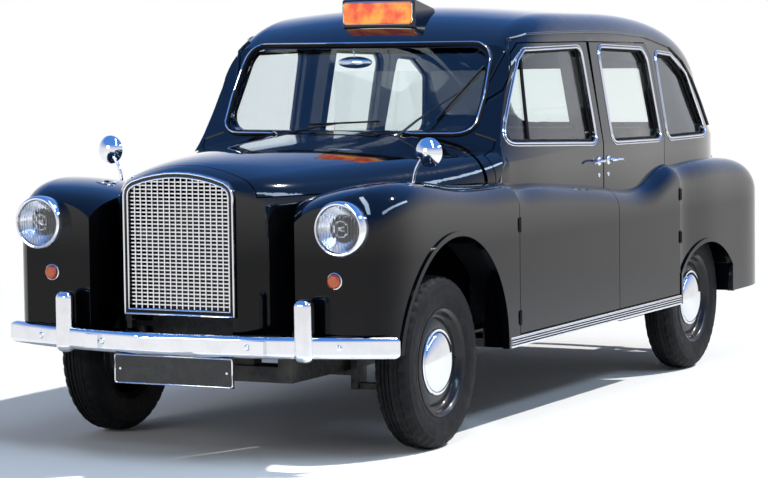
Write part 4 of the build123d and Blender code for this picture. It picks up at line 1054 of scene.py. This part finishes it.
ambient_colour, ambient_strength = (0.80, 0.88, 1.0, 1.0), 0.24
sky_low, sky_high = 0.05, 0.55
sky_low_colour, sky_high_colour = (1.0, 1.0, 1.0, 1.0), (0.10, 0.30, 0.85, 1.0)
world = bpy.data.worlds.new("studio_world")
world.use_nodes = True
bpy.context.scene.world = world
tree = world.node_tree
background = next(n for n in tree.nodes if n.type == "BACKGROUND")
background.inputs["Color"].default_value = ambient_colour
background.inputs["Strength"].default_value = ambient_strength
white = tree.nodes.new("ShaderNodeBackground")
direction = tree.nodes.new("ShaderNodeTexCoord")
parts = tree.nodes.new("ShaderNodeSeparateXYZ")
height = tree.nodes.new("ShaderNodeMapRange")
sky = tree.nodes.new("ShaderNodeMix")
sky.data_type = "RGBA"
height.inputs[1].default_value = sky_low
height.inputs[2].default_value = sky_high
sky.inputs[6].default_value = sky_low_colour
sky.inputs[7].default_value = sky_high_colour
tree.links.new(direction.outputs["Generated"], parts.inputs[0])
tree.links.new(parts.outputs[2], height.inputs[0])
tree.links.new(height.outputs[0], sky.inputs[0])
tree.links.new(sky.outputs[2], white.inputs["Color"])
mixed = tree.nodes.new("ShaderNodeMixShader")
tree.links.new(seen_rays(tree), mixed.inputs[0])
tree.links.new(background.outputs[0], mixed.inputs[1])
tree.links.new(white.outputs[0], mixed.inputs[2])
out = next(n for n in tree.nodes if n.type == "OUTPUT_WORLD")
tree.links.new(mixed.outputs[0], out.inputs["Surface"])

sun_way = Vector((-0.645, -0.650, -1.05))
sun_data = bpy.data.lights.new("sun", "SUN")
sun_data.energy = 3.5
sun_data.angle = math.radians(1.0)
sun_data.color = (1.0, 0.97, 0.92)
sun = bpy.data.objects.new("sun", sun_data)
sun.rotation_mode = "QUATERNION"
sun.rotation_quaternion = sun_way.to_track_quat("-Z", "Y")
bpy.context.scene.collection.objects.link(sun)


def soft_lamp(name, place, aim, size, power, colour):
    data = bpy.data.lights.new(name, "AREA")
    data.shape = "RECTANGLE"
    data.size, data.size_y = size
    data.energy = power
    data.color = colour
    lamp = bpy.data.objects.new(name, data)
    look = Vector(aim) - Vector(place)
    lamp.matrix_world = Matrix.Translation(place) @ look.to_track_quat("-Z", "Y").to_matrix().to_4x4()
    bpy.context.scene.collection.objects.link(lamp)


plain_light, sky_light = (1.0, 1.0, 1.0), (0.62, 0.80, 1.0)
soft_lamp("front", (-3.0, -9.0, 3.5), (0.0, -1.5, 0.8), (3.0, 2.5), 120.0, plain_light)
soft_lamp("left_strip", (5.5, 0.5, 4.6), (0.0, 0.0, 0.9), (7.0, 0.6), 130.0, sky_light)
soft_lamp("bonnet_strip", (1.6, -3.2, 5.2), (0.0, -1.4, 1.0), (0.5, 5.0), 110.0, sky_light)

bpy.context.scene.view_settings.view_transform = "Standard"
